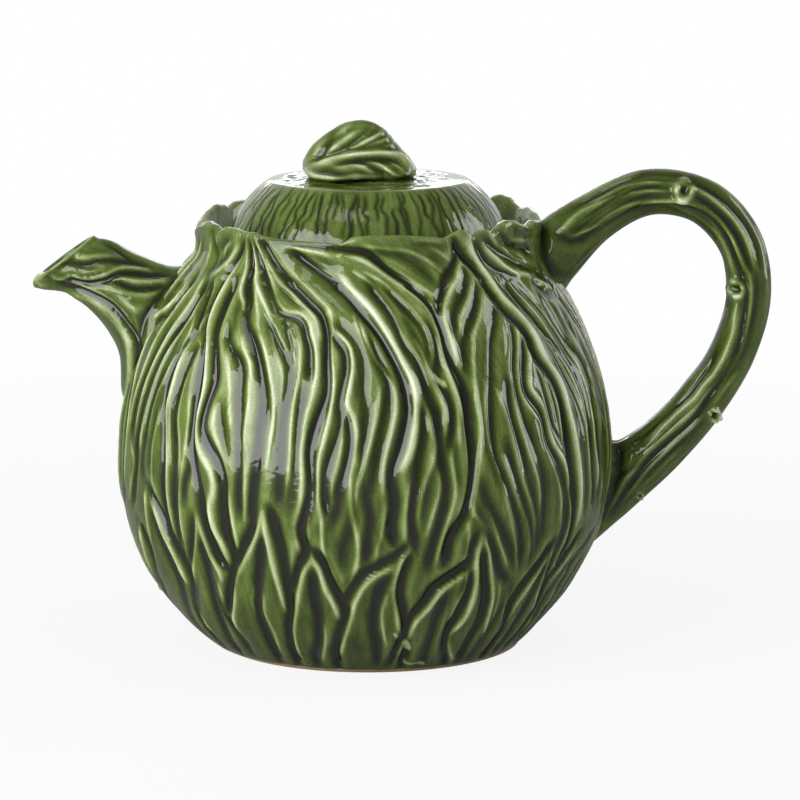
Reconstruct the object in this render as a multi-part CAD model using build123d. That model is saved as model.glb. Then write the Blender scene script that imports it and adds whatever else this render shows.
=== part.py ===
"""Leaf-ware teapot: a cast, glazed earthenware pot with a luted spout and twig handle, and a
loose domed lid that carries a leaf knob.

Frame: millimetres, +Z up. The origin is the centre of the foot ring, on the table. The spout
points along -X, the handle along +X.
"""

from build123d import *
from math import cos, radians, sin, sqrt
import os

# ---- driving dimensions, mm ----
# pot body: two arcs of revolution that share a vertical tangent at the belly
BELLY_RADIUS = 84.0
BELLY_HEIGHT = 62.0
FOOT_RADIUS = 52.0
FOOT_RING_WIDTH = 6.0
FOOT_RECESS = 2.5
WALL = 5.0
NECK_RADIUS = 60.5
NECK_HEIGHT = 128.5

# leaf crown: the scalloped collar of leaf tips that stands round the lid
CROWN_STAND = 17.0
CROWN_TAPER = 2.5
CROWN_WALL = 4.5
CROWN_TIPS = 9
CROWN_DIP = 4.0
CROWN_DIP_RADIUS = 16.0

# gallery: the ledge inside the crown that the lid rests on
GALLERY_DEPTH = 11.5
LID_GAP = 7.5
LID_BEARING = 7.5

# lid: a domed cap with a near-flat top disc, and a flange that centres it in the mouth
LID_EDGE = 4.0
LID_RISE = 18.4
LID_DISC_INSET = 13.0
LID_DISC_RISE = 1.2
SIDE_START = (-0.28, 1.0)
SIDE_END = (-1.0, 0.62)
LID_WALL = 4.0
FLANGE_CLEARANCE = 0.8
FLANGE_WALL = 4.0
FLANGE_DEPTH = 12.0

# leaf knob: oval slices across X, as (x, height of the centre above the lid's top, half depth,
# half height)
KNOB_SLICES = (
    (-21.6, 4.2, 1.8, 1.8),
    (-16.5, 5.4, 6.0, 6.8),
    (-11.0, 7.0, 8.2, 9.6),
    (-2.3, 8.6, 9.2, 10.5),
    (5.0, 7.4, 8.8, 9.1),
    (10.0, 4.4, 7.0, 6.2),
    (15.6, 1.0, 2.4, 2.0),
)

# spout: oval slices from inside the wall to the mouth, as (distance out from the belly, height
# above the belly, angle of the slice's long axis above the table, half depth, half length)
SPOUT_SLICES = (
    (-25.0, 37.0, 65.0, 17.0, 28.0),
    (-12.6, 43.4, 62.2, 16.0, 24.2),
    (-9.2, 49.3, 60.3, 14.5, 17.6),
    (-4.1, 54.3, 61.0, 12.8, 14.2),
    (1.5, 58.9, 59.0, 11.2, 12.4),
    (8.8, 63.9, 55.0, 10.0, 11.8),
    (16.8, 66.2, 37.0, 9.2, 12.6),
)
SPOUT_WALL = 3.4

# strainer: rows of holes through the body wall inside the spout's base
STRAINER_HOLE_RADIUS = 2.2
STRAINER_PITCH = 7.0
STRAINER_RISE = 42.0
STRAINER_ROWS = (3, 4, 3)

# twig handle: oval slices along the loop, as (distance out from the belly, height above the
# belly, direction of the twig there, half thickness in the loop's plane, half depth)
HANDLE_SLICES = (
    (-34.0, 60.0, 42.0, 15.0, 13.0),
    (-21.0, 71.0, 40.0, 10.8, 10.2),
    (-9.0, 80.9, 35.0, 8.6, 8.8),
    (9.0, 89.0, 8.0, 8.0, 8.4),
    (27.0, 85.4, -34.0, 7.9, 8.4),
    (38.8, 72.5, -63.0, 7.8, 8.4),
    (42.0, 56.0, -92.0, 7.8, 8.4),
    (37.6, 37.0, -111.0, 7.9, 8.4),
    (27.6, 19.6, -125.0, 8.2, 8.6),
    (14.5, 4.6, -133.0, 9.0, 9.0),
    (-2.5, -8.8, -140.0, 11.2, 10.2),
    (-15.0, -19.0, -148.0, 12.0, 11.4),
)
# pruned-twig knots on the handle's sides, as (out from the belly, above the belly, radius)
TWIG_KNOTS = ((20.8, 88.6, 3.3), (38.6, 55.5, 3.0))
KNOT_STAND = 1.4
KNOT_DIMPLE_SHARE = 0.45


def arc_radius(inward, along):
    """Radius of an arc that starts vertical and ends `inward` closer to the axis, `along` away."""
    return (inward**2 + along**2) / (2 * inward)


# ---- sizes that follow ----
LOWER_ARC = arc_radius(BELLY_RADIUS - FOOT_RADIUS, BELLY_HEIGHT)
UPPER_ARC = arc_radius(BELLY_RADIUS - NECK_RADIUS, NECK_HEIGHT - BELLY_HEIGHT)
FLOOR_HEIGHT = FOOT_RECESS + WALL
CROWN_HEIGHT = NECK_HEIGHT + CROWN_STAND
CROWN_RADIUS = NECK_RADIUS - CROWN_TAPER
CROWN_INNER = CROWN_RADIUS - CROWN_WALL
CROWN_LEAN = (-CROWN_TAPER, CROWN_STAND)
GALLERY_HEIGHT = CROWN_HEIGHT - GALLERY_DEPTH
SHELF_UNDERSIDE = GALLERY_HEIGHT - WALL
LID_RADIUS = CROWN_INNER - LID_GAP
MOUTH_RADIUS = LID_RADIUS - LID_BEARING
FLANGE_RADIUS = MOUTH_RADIUS - FLANGE_CLEARANCE
LID_SPRING = GALLERY_HEIGHT + LID_EDGE
LID_TOP = LID_SPRING + LID_RISE


def wall_radius(z, inset=0.0):
    """Radius of the pot's wall at height z, a given distance in from its outside."""
    arc = LOWER_ARC if z < BELLY_HEIGHT else UPPER_ARC
    return BELLY_RADIUS - arc + sqrt((arc - inset) ** 2 - (z - BELLY_HEIGHT) ** 2)


def wall_arcs(z_low, z_high, inset=0.0):
    """The pot's side from z_low to z_high: two arcs that share a vertical tangent at the belly."""
    low_middle = (z_low + BELLY_HEIGHT) / 2
    high_middle = (z_high + BELLY_HEIGHT) / 2
    points = [
        (wall_radius(z, inset), z)
        for z in (z_low, low_middle, BELLY_HEIGHT, high_middle, z_high)
    ]
    return ThreePointArc(*points[:3]), ThreePointArc(*points[2:])


def solid_of_revolution(outline):
    """Turns a closed outline of (r, z) edges about the Z axis."""
    return revolve(Plane.XZ * make_face(outline), Axis.Z, 360)


def body_outline():
    """Closed outline of the pot's wall: side, crown, gallery, inside, floor and foot."""
    outer_low, outer_high = wall_arcs(0, NECK_HEIGHT)
    inner_low, inner_high = wall_arcs(FLOOR_HEIGHT, SHELF_UNDERSIDE, WALL)
    lip_start = CROWN_HEIGHT - CROWN_WALL / 2
    lip_middle = (CROWN_INNER + CROWN_RADIUS) / 2
    crown = Spline(
        outer_high @ 1, (CROWN_RADIUS, lip_start), tangents=(outer_high % 1, CROWN_LEAN)
    )
    lip = ThreePointArc(crown @ 1, (lip_middle, CROWN_HEIGHT), (CROWN_INNER, lip_start))
    gallery = Polyline(
        lip @ 1,
        (CROWN_INNER, GALLERY_HEIGHT),
        (MOUTH_RADIUS, GALLERY_HEIGHT),
        (MOUTH_RADIUS, SHELF_UNDERSIDE),
        inner_high @ 1,
    )
    base = Polyline(
        inner_low @ 0,
        (0, FLOOR_HEIGHT),
        (0, FOOT_RECESS),
        (FOOT_RADIUS - FOOT_RING_WIDTH, FOOT_RECESS),
        (FOOT_RADIUS - FOOT_RING_WIDTH, 0),
        outer_low @ 0,
    )
    return Curve() + [outer_low, outer_high, crown, lip, gallery, inner_high, inner_low, base]


def body_envelope():
    """The pot's outer shape, filled, for trimming what is luted on to it."""
    low, high = wall_arcs(0, NECK_HEIGHT)
    crown_top = (CROWN_RADIUS, CROWN_HEIGHT - CROWN_WALL / 2)
    crown = Spline(high @ 1, crown_top, tangents=(high % 1, CROWN_LEAN))
    above = CROWN_HEIGHT + WALL
    closing = Polyline(crown @ 1, (CROWN_RADIUS, above), (0, above), (0, 0), low @ 0)
    return solid_of_revolution(Curve() + [low, high, crown, closing])


def crown_dips():
    """Radial cutters that leave CROWN_TIPS leaf tips standing in the collar."""
    height = CROWN_HEIGHT - CROWN_DIP + CROWN_DIP_RADIUS
    cutter = Cylinder(
        CROWN_DIP_RADIUS,
        CROWN_RADIUS + WALL,
        align=(Align.CENTER, Align.CENTER, Align.MIN),
    )
    placed = Pos(0, 0, height) * Rot(0, 90, 0) * cutter
    return [Rot(0, 0, 360 * (tip + 0.5) / CROWN_TIPS) * placed for tip in range(CROWN_TIPS)]


def strainer_holes():
    """Drills for the strainer: rows of holes through the wall behind the spout."""
    drill = Cylinder(
        STRAINER_HOLE_RADIUS, BELLY_RADIUS, align=(Align.CENTER, Align.CENTER, Align.MIN)
    )
    drills = []
    row_pitch = STRAINER_PITCH * sqrt(3) / 2
    for row, count in enumerate(STRAINER_ROWS):
        up = (row - (len(STRAINER_ROWS) - 1) / 2) * row_pitch
        for place in range(count):
            across = (place - (count - 1) / 2) * STRAINER_PITCH
            where = Pos(0, across, BELLY_HEIGHT + STRAINER_RISE + up)
            drills.append(where * Rot(0, -90, 0) * drill)
    return drills


def pot_body():
    body = solid_of_revolution(body_outline())
    return body - crown_dips() - strainer_holes()


def oval(x, z, tilt, half_depth, half_long):
    """Oval slice at (x, 0, z), its long axis tilted from +X up towards +Z by tilt degrees."""
    along = Vector(cos(radians(tilt)), 0, sin(radians(tilt)))
    plane = Plane(origin=(x, 0, z), x_dir=(0, 1, 0), z_dir=Vector(0, 1, 0).cross(along))
    return plane * Ellipse(half_depth, half_long)


def spout_slices(wall=0.0):
    return [
        oval(-BELLY_RADIUS - out, BELLY_HEIGHT + up, tilt, depth - wall, half - wall)
        for out, up, tilt, depth, half in SPOUT_SLICES
    ]


def spout():
    """Tapered spout with its bore, trimmed to the pot's side."""
    bore_slices = spout_slices(SPOUT_WALL)
    mouth = bore_slices[-1]
    way_out = extrude(mouth, SPOUT_WALL, both=True)
    return loft(spout_slices()) - loft(bore_slices) - way_out - body_envelope()


def twig_knots():
    """A round stub on each side of the twig for each knot, and the dimples in the stubs."""
    stubs, dimples = [], []
    reach = min(depth for *_, depth in HANDLE_SLICES) + KNOT_STAND
    for out, up, radius in TWIG_KNOTS:
        centre = Pos(BELLY_RADIUS + out, 0, BELLY_HEIGHT + up)
        stubs.append(centre * Rot(90, 0, 0) * Cylinder(radius, 2 * reach))
        for side in (-1, 1):
            dimples.append(centre * Pos(0, side * reach, 0) * Sphere(radius * KNOT_DIMPLE_SHARE))
    return stubs, dimples


def handle():
    """Twig loop with its knots, trimmed to the pot's side."""
    slices = [
        oval(BELLY_RADIUS + out, BELLY_HEIGHT + up, direction + 90, depth, half)
        for out, up, direction, half, depth in HANDLE_SLICES
    ]
    stubs, dimples = twig_knots()
    return loft(slices) + stubs - dimples - body_envelope()


def lid_dome():
    """The lid's outline from its spring line, up the side and over the top disc to the axis."""
    disc_radius = LID_RADIUS - LID_DISC_INSET
    disc_edge = (disc_radius, LID_TOP - LID_DISC_RISE)
    side = Spline((LID_RADIUS, LID_SPRING), disc_edge, tangents=(SIDE_START, SIDE_END))
    disc_slope = (-disc_radius, 2 * LID_DISC_RISE)
    over_disc = Spline(disc_edge, (0, LID_TOP), tangents=(disc_slope, (-1, 0)))
    return [side, over_disc]


def lid():
    inside_top = LID_TOP - LID_WALL
    flange_inner = FLANGE_RADIUS - FLANGE_WALL
    flange_bottom = GALLERY_HEIGHT - FLANGE_DEPTH
    ceiling = Spline((flange_inner, LID_SPRING), (0, inside_top), tangents=((0, 1), (-1, 0)))
    rim = Polyline(
        (flange_inner, LID_SPRING),
        (flange_inner, flange_bottom),
        (FLANGE_RADIUS, flange_bottom),
        (FLANGE_RADIUS, GALLERY_HEIGHT),
        (LID_RADIUS, GALLERY_HEIGHT),
        (LID_RADIUS, LID_SPRING),
    )
    axis_line = Line((0, LID_TOP), (0, inside_top))
    return solid_of_revolution(Curve() + [*lid_dome(), axis_line, ceiling, rim])


def lid_knob():
    """Leaf knob, seated on the lid's top."""
    slices = [
        Plane(origin=(x, 0, LID_TOP + up), x_dir=(0, 1, 0), z_dir=(1, 0, 0))
        * Ellipse(depth, height)
        for x, up, depth, height in KNOB_SLICES
    ]
    closing = Polyline((0, LID_TOP), (0, GALLERY_HEIGHT), (LID_RADIUS, GALLERY_HEIGHT))
    edge = Line((LID_RADIUS, GALLERY_HEIGHT), (LID_RADIUS, LID_SPRING))
    dome = solid_of_revolution(Curve() + [*lid_dome(), closing, edge])
    return loft(slices) - dome


if __name__ == "__main__":
    os.makedirs("parts", exist_ok=True)
    nodes = {
        "pot_body": pot_body(),
        "spout": spout(),
        "handle": handle(),
        "lid": lid(),
        "lid_knob": lid_knob(),
    }
    for name, shape in nodes.items():
        print(name, len(shape.solids()), round(shape.volume))
        export_step(shape, f"parts/{name}.step")
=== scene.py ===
# %% [markdown]
# # A glazed leaf teapot
# The object is a teapot of cast earthenware under a thick, shiny green glaze. Its belly is dressed
# in long folded leaves that hang from the rim and meet a ring of pointed leaves at the foot. Five
# pieces make it: the pot, the spout, the twig handle, the lid and the leaf that is the lid's knob.
# Each is modelled here around the plain construction model, at its size.

# %% Load the construction model as a fixed frame
import math

import bmesh
import bpy
import numpy as np
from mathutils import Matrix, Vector


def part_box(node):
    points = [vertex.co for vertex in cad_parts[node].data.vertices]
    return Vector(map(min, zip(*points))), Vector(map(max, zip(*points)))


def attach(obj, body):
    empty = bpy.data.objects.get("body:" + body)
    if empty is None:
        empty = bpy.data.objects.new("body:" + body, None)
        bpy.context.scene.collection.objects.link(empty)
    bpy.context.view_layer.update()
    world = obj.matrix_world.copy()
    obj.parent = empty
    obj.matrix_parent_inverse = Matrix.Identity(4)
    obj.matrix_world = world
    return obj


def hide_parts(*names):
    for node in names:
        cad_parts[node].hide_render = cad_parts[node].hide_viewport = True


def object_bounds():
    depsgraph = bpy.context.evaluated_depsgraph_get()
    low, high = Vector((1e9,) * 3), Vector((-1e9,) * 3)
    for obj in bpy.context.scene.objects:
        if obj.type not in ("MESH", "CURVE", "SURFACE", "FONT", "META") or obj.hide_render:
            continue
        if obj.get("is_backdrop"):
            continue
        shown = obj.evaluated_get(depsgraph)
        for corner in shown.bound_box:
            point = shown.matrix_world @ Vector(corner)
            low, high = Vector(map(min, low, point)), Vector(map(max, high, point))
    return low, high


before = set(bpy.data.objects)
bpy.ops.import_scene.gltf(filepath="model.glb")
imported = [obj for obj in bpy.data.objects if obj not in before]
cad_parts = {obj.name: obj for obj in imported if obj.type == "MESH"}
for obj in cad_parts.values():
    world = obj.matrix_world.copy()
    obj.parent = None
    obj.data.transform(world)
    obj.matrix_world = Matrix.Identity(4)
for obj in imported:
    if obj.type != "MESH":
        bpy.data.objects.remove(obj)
CAD_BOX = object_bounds()
MILLIMETRE = 0.001
cad_size = (CAD_BOX[1] - CAD_BOX[0]) / MILLIMETRE
print("construction model:", [round(side, 1) for side in cad_size], "mm")

# %% [markdown]
# ## The studio
# Glossy ware is lit by a few large soft boxes, because a glaze shows whatever stands round it like
# a mirror. A big box on the left gives the long soft highlights, a weaker one on the right lifts
# the shaded side, a low, wide one behind whitens the lid's top, and a small one above fills in. An
# area lamp is the plain match for a soft box, as the glaze can mirror its surface. The camera looks
# slightly down from the front through a long lens, so that near and far keep nearly one size.

# %% Camera
CAMERA_PLACE = Vector((0.0104, -1.32, 0.315))
CAMERA_TARGET = Vector((0.0104, 0.0, 0.081))
CAMERA_LENS = 180.6

camera = bpy.data.objects.new("camera", bpy.data.cameras.new("camera"))
bpy.context.scene.collection.objects.link(camera)
camera.location = CAMERA_PLACE
camera.rotation_euler = (CAMERA_TARGET - CAMERA_PLACE).to_track_quat("-Z", "Y").to_euler()
camera.data.lens = CAMERA_LENS
camera.data.sensor_width = 36
bpy.context.scene.camera = camera
bpy.context.scene.view_settings.view_transform = "Standard"
print("camera", round((CAMERA_TARGET - CAMERA_PLACE).length, 3), "m from the pot")

# %% Soft boxes
# name, place in metres, width, height, power in watts
SOFT_BOXES = (
    ("left_box", (-0.8, -0.75, 0.455), 1.0, 0.95, 13.5),
    ("top_box", (-0.3, -0.4, 1.2), 0.4, 0.34, 0.8),
    ("back_box", (0.0, 1.7, 0.53), 1.1, 0.22, 2.2),
    ("right_box", (1.1, 0.3, 0.45), 0.5, 0.9, 5.0),
)
POT_MIDDLE = Vector((0.0, 0.0, 0.08))


def soft_box(name, place, width, height, power):
    """A rectangular area lamp that faces the pot."""
    lamp = bpy.data.lights.new(name, "AREA")
    lamp.shape = "RECTANGLE"
    lamp.size = width
    lamp.size_y = height
    lamp.energy = power
    holder = bpy.data.objects.new(name, lamp)
    holder.location = place
    holder.rotation_euler = (POT_MIDDLE - Vector(place)).to_track_quat("-Z", "Y").to_euler()
    bpy.context.scene.collection.objects.link(holder)
    print(name, width, "x", height, "m,", power, "W")


for box in SOFT_BOXES:
    soft_box(*box)

# %% [markdown]
# ## The green glaze
# The pot is earthenware under a majolica glaze, a coloured lead glass that is brushed on and fired.
# It runs off the crests of the relief and pools in the folds, so the crests are pale where the clay
# shines through and the folds are nearly black. A painted texture could show that, but it would
# have to be fitted to every fold. So each piece carries an attribute, "glaze", from 0 in the folds
# to 1 on the crests, which is worked out together with the relief. A colour ramp turns it into the
# colour of the glass, and noises break it up. The hard, clear surface is the shader's own specular
# layer. The foot ring is wiped before firing and stays bare: "bare" is 1 there.
# On the pot's wall the "glaze" attribute also carries painted shade, which darkens it towards the
# foot.


# %% Colour and node helpers
def linear(hex_colour):
    """Linear RGBA of an sRGB colour such as "#55762F"."""
    channels = [int(hex_colour[i : i + 2], 16) / 255 for i in (1, 3, 5)]
    light = [c / 12.92 if c <= 0.04045 else ((c + 0.055) / 1.055) ** 2.4 for c in channels]
    return (*light, 1.0)


def add_node(tree, kind, settings=(), links=()):
    """Adds a node with its settings and links: an input's name or number, and what it gets."""
    node = tree.nodes.new(kind)
    for key, value in dict(settings).items():
        if isinstance(key, int) or key in node.inputs:
            node.inputs[key].default_value = value
        else:
            setattr(node, key, value)
    for key, socket in dict(links).items():
        tree.links.new(socket, node.inputs[key])
    return node


print("mid green in linear light:", [round(channel, 3) for channel in linear("#506127")])

# %% Colours and patterns of the glaze
# Depth of colour: the deepest pools first, the thinnest crests last.
GLAZE_RAMP = (
    (0.0, "#22241B"),
    (0.15, "#292F16"),
    (0.3, "#3A4719"),
    (0.45, "#506127"),
    (0.6, "#6C7E40"),
    (0.76, "#94A36B"),
    (0.9, "#BCC79B"),
    (1.0, "#D6DCC0"),
)
# The brush leaves pale and dark areas about as wide as itself, 12 mm.
MOTTLE_MM, MOTTLE_SHARE = 12.0, 0.3
# Real runs of glaze are hair thin, about 0.3 mm; they are drawn 1.3 mm wide, so that they show.
STREAK_MM, STREAK_SHARE, STREAK_STRETCH = 1.3, 0.26, 0.1
# The iron specks of the clay are about 0.2 mm; they are drawn 0.6 mm wide, so that they show.
SPECK_MM, SPECK_SHARE = 0.6, 0.24
# The fired surface swells by a sixth of a millimetre over 5 mm, which bends the highlights.
SWELL_MM, SWELL_HEIGHT = 5.0, 0.16
NOISE_DETAIL, SOFT_DETAIL = 3.0, 2.0
# Glass with lead in it bends light a little more than window glass.
GLAZE_IOR = 1.56
GLAZE_ROUGHNESS = 0.07
# The fired, unglazed clay, called biscuit, is pale, warm and matt.
BISCUIT = "#C4A57B"
BISCUIT_ROUGHNESS = 0.6
print("glaze ramp:", len(GLAZE_RAMP), "greens")


# %% Glaze material
def green_glaze(name):
    """Glossy majolica glaze whose depth of colour follows the "glaze" attribute."""
    material = bpy.data.materials.new(name)
    material.use_nodes = True
    tree = material.node_tree
    shader = tree.nodes["Principled BSDF"]
    thin = add_node(tree, "ShaderNodeAttribute", {"attribute_name": "glaze"}).outputs["Fac"]
    flow = add_node(tree, "ShaderNodeAttribute", {"attribute_name": "flow"}).outputs["Vector"]
    place = add_node(tree, "ShaderNodeTexCoord").outputs["Object"]
    streaky = add_node(
        tree, "ShaderNodeMapping", {"Scale": (1.0, 1.0, STREAK_STRETCH)}, {"Vector": flow}
    )
    # The glaze lies unevenly: it swells over a few millimetres and runs down in faint streaks.
    swell = add_node(
        tree, "ShaderNodeTexNoise",
        {"Scale": 1 / (SWELL_MM * MILLIMETRE), "Detail": SOFT_DETAIL}, {"Vector": place},
    )
    uneven = add_node(
        tree, "ShaderNodeBump", {"Strength": 1.0, "Distance": SWELL_HEIGHT * MILLIMETRE},
        {"Height": swell.outputs["Fac"]},
    )
    tree.links.new(uneven.outputs["Normal"], shader.inputs["Normal"])
    patterns = (
        (place, MOTTLE_MM, NOISE_DETAIL, MOTTLE_SHARE),
        (streaky.outputs["Vector"], STREAK_MM, NOISE_DETAIL, STREAK_SHARE),
        (place, SPECK_MM, SOFT_DETAIL, SPECK_SHARE),
    )
    depth = thin
    for vector, size, detail, share in patterns:
        noise = add_node(
            tree, "ShaderNodeTexNoise",
            {"Scale": 1 / (size * MILLIMETRE), "Detail": detail}, {"Vector": vector},
        )
        centred = add_node(
            tree, "ShaderNodeMath", {"operation": "SUBTRACT", 1: 0.5}, {0: noise.outputs["Fac"]}
        )
        depth = add_node(
            tree, "ShaderNodeMath", {"operation": "MULTIPLY_ADD", 1: share},
            {0: centred.outputs[0], 2: depth},
        ).outputs[0]
    ramp = add_node(tree, "ShaderNodeValToRGB", links={"Fac": depth})
    stops = ramp.color_ramp.elements
    while len(stops) < len(GLAZE_RAMP):
        stops.new(0.5)
    for stop, (position, colour) in zip(stops, GLAZE_RAMP):
        stop.position = position
        stop.color = linear(colour)
    bare = add_node(tree, "ShaderNodeAttribute", {"attribute_name": "bare"}).outputs["Fac"]
    colour = add_node(
        tree, "ShaderNodeMix", {"data_type": "RGBA"}, {0: bare, 6: ramp.outputs["Color"]}
    )
    colour.inputs[7].default_value = linear(BISCUIT)
    tree.links.new(colour.outputs[2], shader.inputs["Base Color"])
    rough = add_node(
        tree, "ShaderNodeMapRange", {"To Min": GLAZE_ROUGHNESS, "To Max": BISCUIT_ROUGHNESS},
        {"Value": bare},
    )
    tree.links.new(rough.outputs["Result"], shader.inputs["Roughness"])
    shader.inputs["IOR"].default_value = GLAZE_IOR
    return material


body_glaze = green_glaze("majolica_glaze")
print(body_glaze.name, "has", len(body_glaze.node_tree.nodes), "nodes")

# %% [markdown]
# ## The pot's wall
# The plain wall is a shape of revolution, as it would be turned before it is carved: two arcs that
# meet at the belly, and a collar that stands round the lid. The sizes are the construction model's
# own. One function gives the wall's radius at any height, so that the outline, the inside and the
# drawing of the leaves all follow the same curve.

# %% Sizes of the wall
body_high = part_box("pot_body")[1] / MILLIMETRE
BELLY_RADIUS = body_high.y
RIM_HEIGHT = body_high.z
BELLY_HEIGHT = 62.0
FOOT_RADIUS = 52.0
FOOT_RING = 6.0
FOOT_RECESS = 2.5
WALL = 5.0
NECK_RADIUS = 60.5
NECK_HEIGHT = 128.5
COLLAR_RADIUS = 58.0
COLLAR_INNER = 54.0
LEDGE_HEIGHT = RIM_HEIGHT - 11.5
MOUTH_RADIUS = 38.5
print("belly", round(BELLY_RADIUS, 1), "mm, rim at", round(RIM_HEIGHT, 1), "mm")


# %% Curve of the wall
def arc_radius(inward, along):
    """Radius of an arc that starts upright and ends `inward` nearer the axis, `along` away."""
    return (inward**2 + along**2) / (2 * inward)


LOWER_ARC = arc_radius(BELLY_RADIUS - FOOT_RADIUS, BELLY_HEIGHT)
UPPER_ARC = arc_radius(BELLY_RADIUS - NECK_RADIUS, NECK_HEIGHT - BELLY_HEIGHT)


def wall_radius(height, inset=0.0):
    """Radius of the pot's wall at a height, a given distance in from its outside."""
    height = np.asarray(height, float)
    arc = np.where(height < BELLY_HEIGHT, LOWER_ARC, UPPER_ARC)
    side = BELLY_RADIUS - arc + np.sqrt((arc - inset) ** 2 - (height - BELLY_HEIGHT) ** 2)
    neck_slope = -(NECK_HEIGHT - BELLY_HEIGHT) / (UPPER_ARC - BELLY_RADIUS + NECK_RADIUS)
    stand = RIM_HEIGHT - NECK_HEIGHT
    t = np.clip((height - NECK_HEIGHT) / stand, 0, 1)
    ease = 3 * t**2 - 2 * t**3
    collar = NECK_RADIUS + (COLLAR_RADIUS - NECK_RADIUS) * ease
    collar += stand * neck_slope * t * (1 - t) ** 2
    return np.where(height > NECK_HEIGHT, collar - inset, side)

# %% Length of the wall
# The way along the wall from the foot up, in millimetres, at 600 heights.
WALL_HEIGHTS = np.linspace(0, RIM_HEIGHT, 600)
WALL_RUN = np.concatenate(
    ([0.0], np.cumsum(np.hypot(np.diff(WALL_HEIGHTS), np.diff(wall_radius(WALL_HEIGHTS)))))
)
print("wall:", round(WALL_RUN[-1], 1), "mm from foot to rim")

# %% [markdown]
# ## Drawing the leaves
# The relief is drawn the way a modeller cuts it: as strokes on the plain wall. Noise would give no
# such flowing lines. A fold is a groove, a narrow cut in the middle of a wide, soft hollow. A rib
# is a thin raised vein or leaf edge. Each stroke has a width and a depth or height in millimetres
# and passes smoothly through a few points, (degrees round the pot from the front towards the
# handle, height in millimetres).
#
# The long folds come first and from left to right, because they also steer the mesh: its columns
# run along them, so that a fold never cuts across the grain of the mesh.

# %% Long folds, from the rim towards the foot
LONG_FOLDS = (
    (1.8, 1.7, (-57, 127), (-57, 121), (-58.5, 112.5), (-61.8, 105), (-63.5, 96), (-65, 87.5),
     (-66, 75), (-65.5, 70), (-66, 64), (-68.8, 51)),
    (1.7, 2, (-55.4, 127.4), (-53.3, 122), (-52, 115.5), (-51.2, 112), (-54.4, 105), (-55.8, 94),
     (-55.2, 88), (-53.3, 79), (-52.6, 70), (-52.4, 58), (-51, 48.5), (-49.2, 41), (-47.7, 36)),
    (2, 2.3, (-43.3, 141.6), (-45.4, 137.4), (-49.5, 129), (-49.7, 124), (-48.8, 115.3),
     (-46, 107.5), (-44.4, 98), (-43.9, 88), (-42.9, 76), (-40.2, 63), (-38.6, 49.5), (-36, 40.3),
     (-33.8, 36.5)),
    (2.6, 2.3, (-44.6, 128), (-44.3, 120), (-43.7, 113), (-41, 105.3), (-39.1, 98), (-40.4, 90),
     (-40.4, 83), (-38.5, 79.2), (-35, 73.8), (-33.3, 68), (-33.5, 59), (-33.1, 50), (-31.8, 41),
     (-33.4, 35), (-36.2, 28), (-39, 21)),
    (2.2, 2.1, (-42, 141), (-40.8, 133), (-39.5, 128.5), (-35.8, 122), (-34.6, 117), (-30.3, 110.8),
     (-26.8, 103), (-24.4, 93), (-24.6, 84), (-25, 74), (-25.8, 63), (-26.2, 54)),
    (2.7, 2.5, (-37.4, 142), (-34, 137.4), (-30.4, 133), (-26.5, 130), (-21, 127), (-16.5, 123.7),
     (-13, 120.8), (-11, 116), (-9.9, 106), (-9.4, 97), (-11.3, 88.5), (-12.7, 80), (-12.3, 66),
     (-13.8, 58), (-14.8, 53), (-13.8, 47), (-15.8, 40)),
    (2.4, 2.3, (-25.6, 138.4), (-19, 134.4), (-13, 130.6), (-7.5, 127), (-2.4, 121.8), (2.6, 115.7),
     (5.9, 109), (8.5, 101), (9.4, 92), (7.6, 82), (5.4, 72), (6, 62), (5.3, 54), (6, 49)),
    (2.4, 2.4, (-33, 142), (-20, 141.2), (-8, 139.6), (-0.5, 138.4), (6.8, 132.9), (12.6, 128.7),
     (17.6, 123.3), (19.7, 117), (20.5, 108), (23.2, 98), (23.5, 86), (23.4, 70), (21.8, 59),
     (18.6, 50), (17.8, 41.5)),
    (2.5, 2.5, (28.6, 142), (31, 138), (37, 131.2), (39, 125.5), (41, 119.2), (46.7, 111.8),
     (46.9, 105.5), (50.5, 98), (52.4, 90), (52.5, 76), (53.3, 65), (55.3, 53.5), (55.6, 43),
     (53.6, 35)),
    (1.8, 1.9, (45.5, 128.5), (47.8, 123), (52, 115.5), (56, 107.5), (61, 100), (64.2, 88),
     (64.4, 76), (64.6, 64), (66, 52)),
)
print("long folds:", len(LONG_FOLDS))

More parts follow.
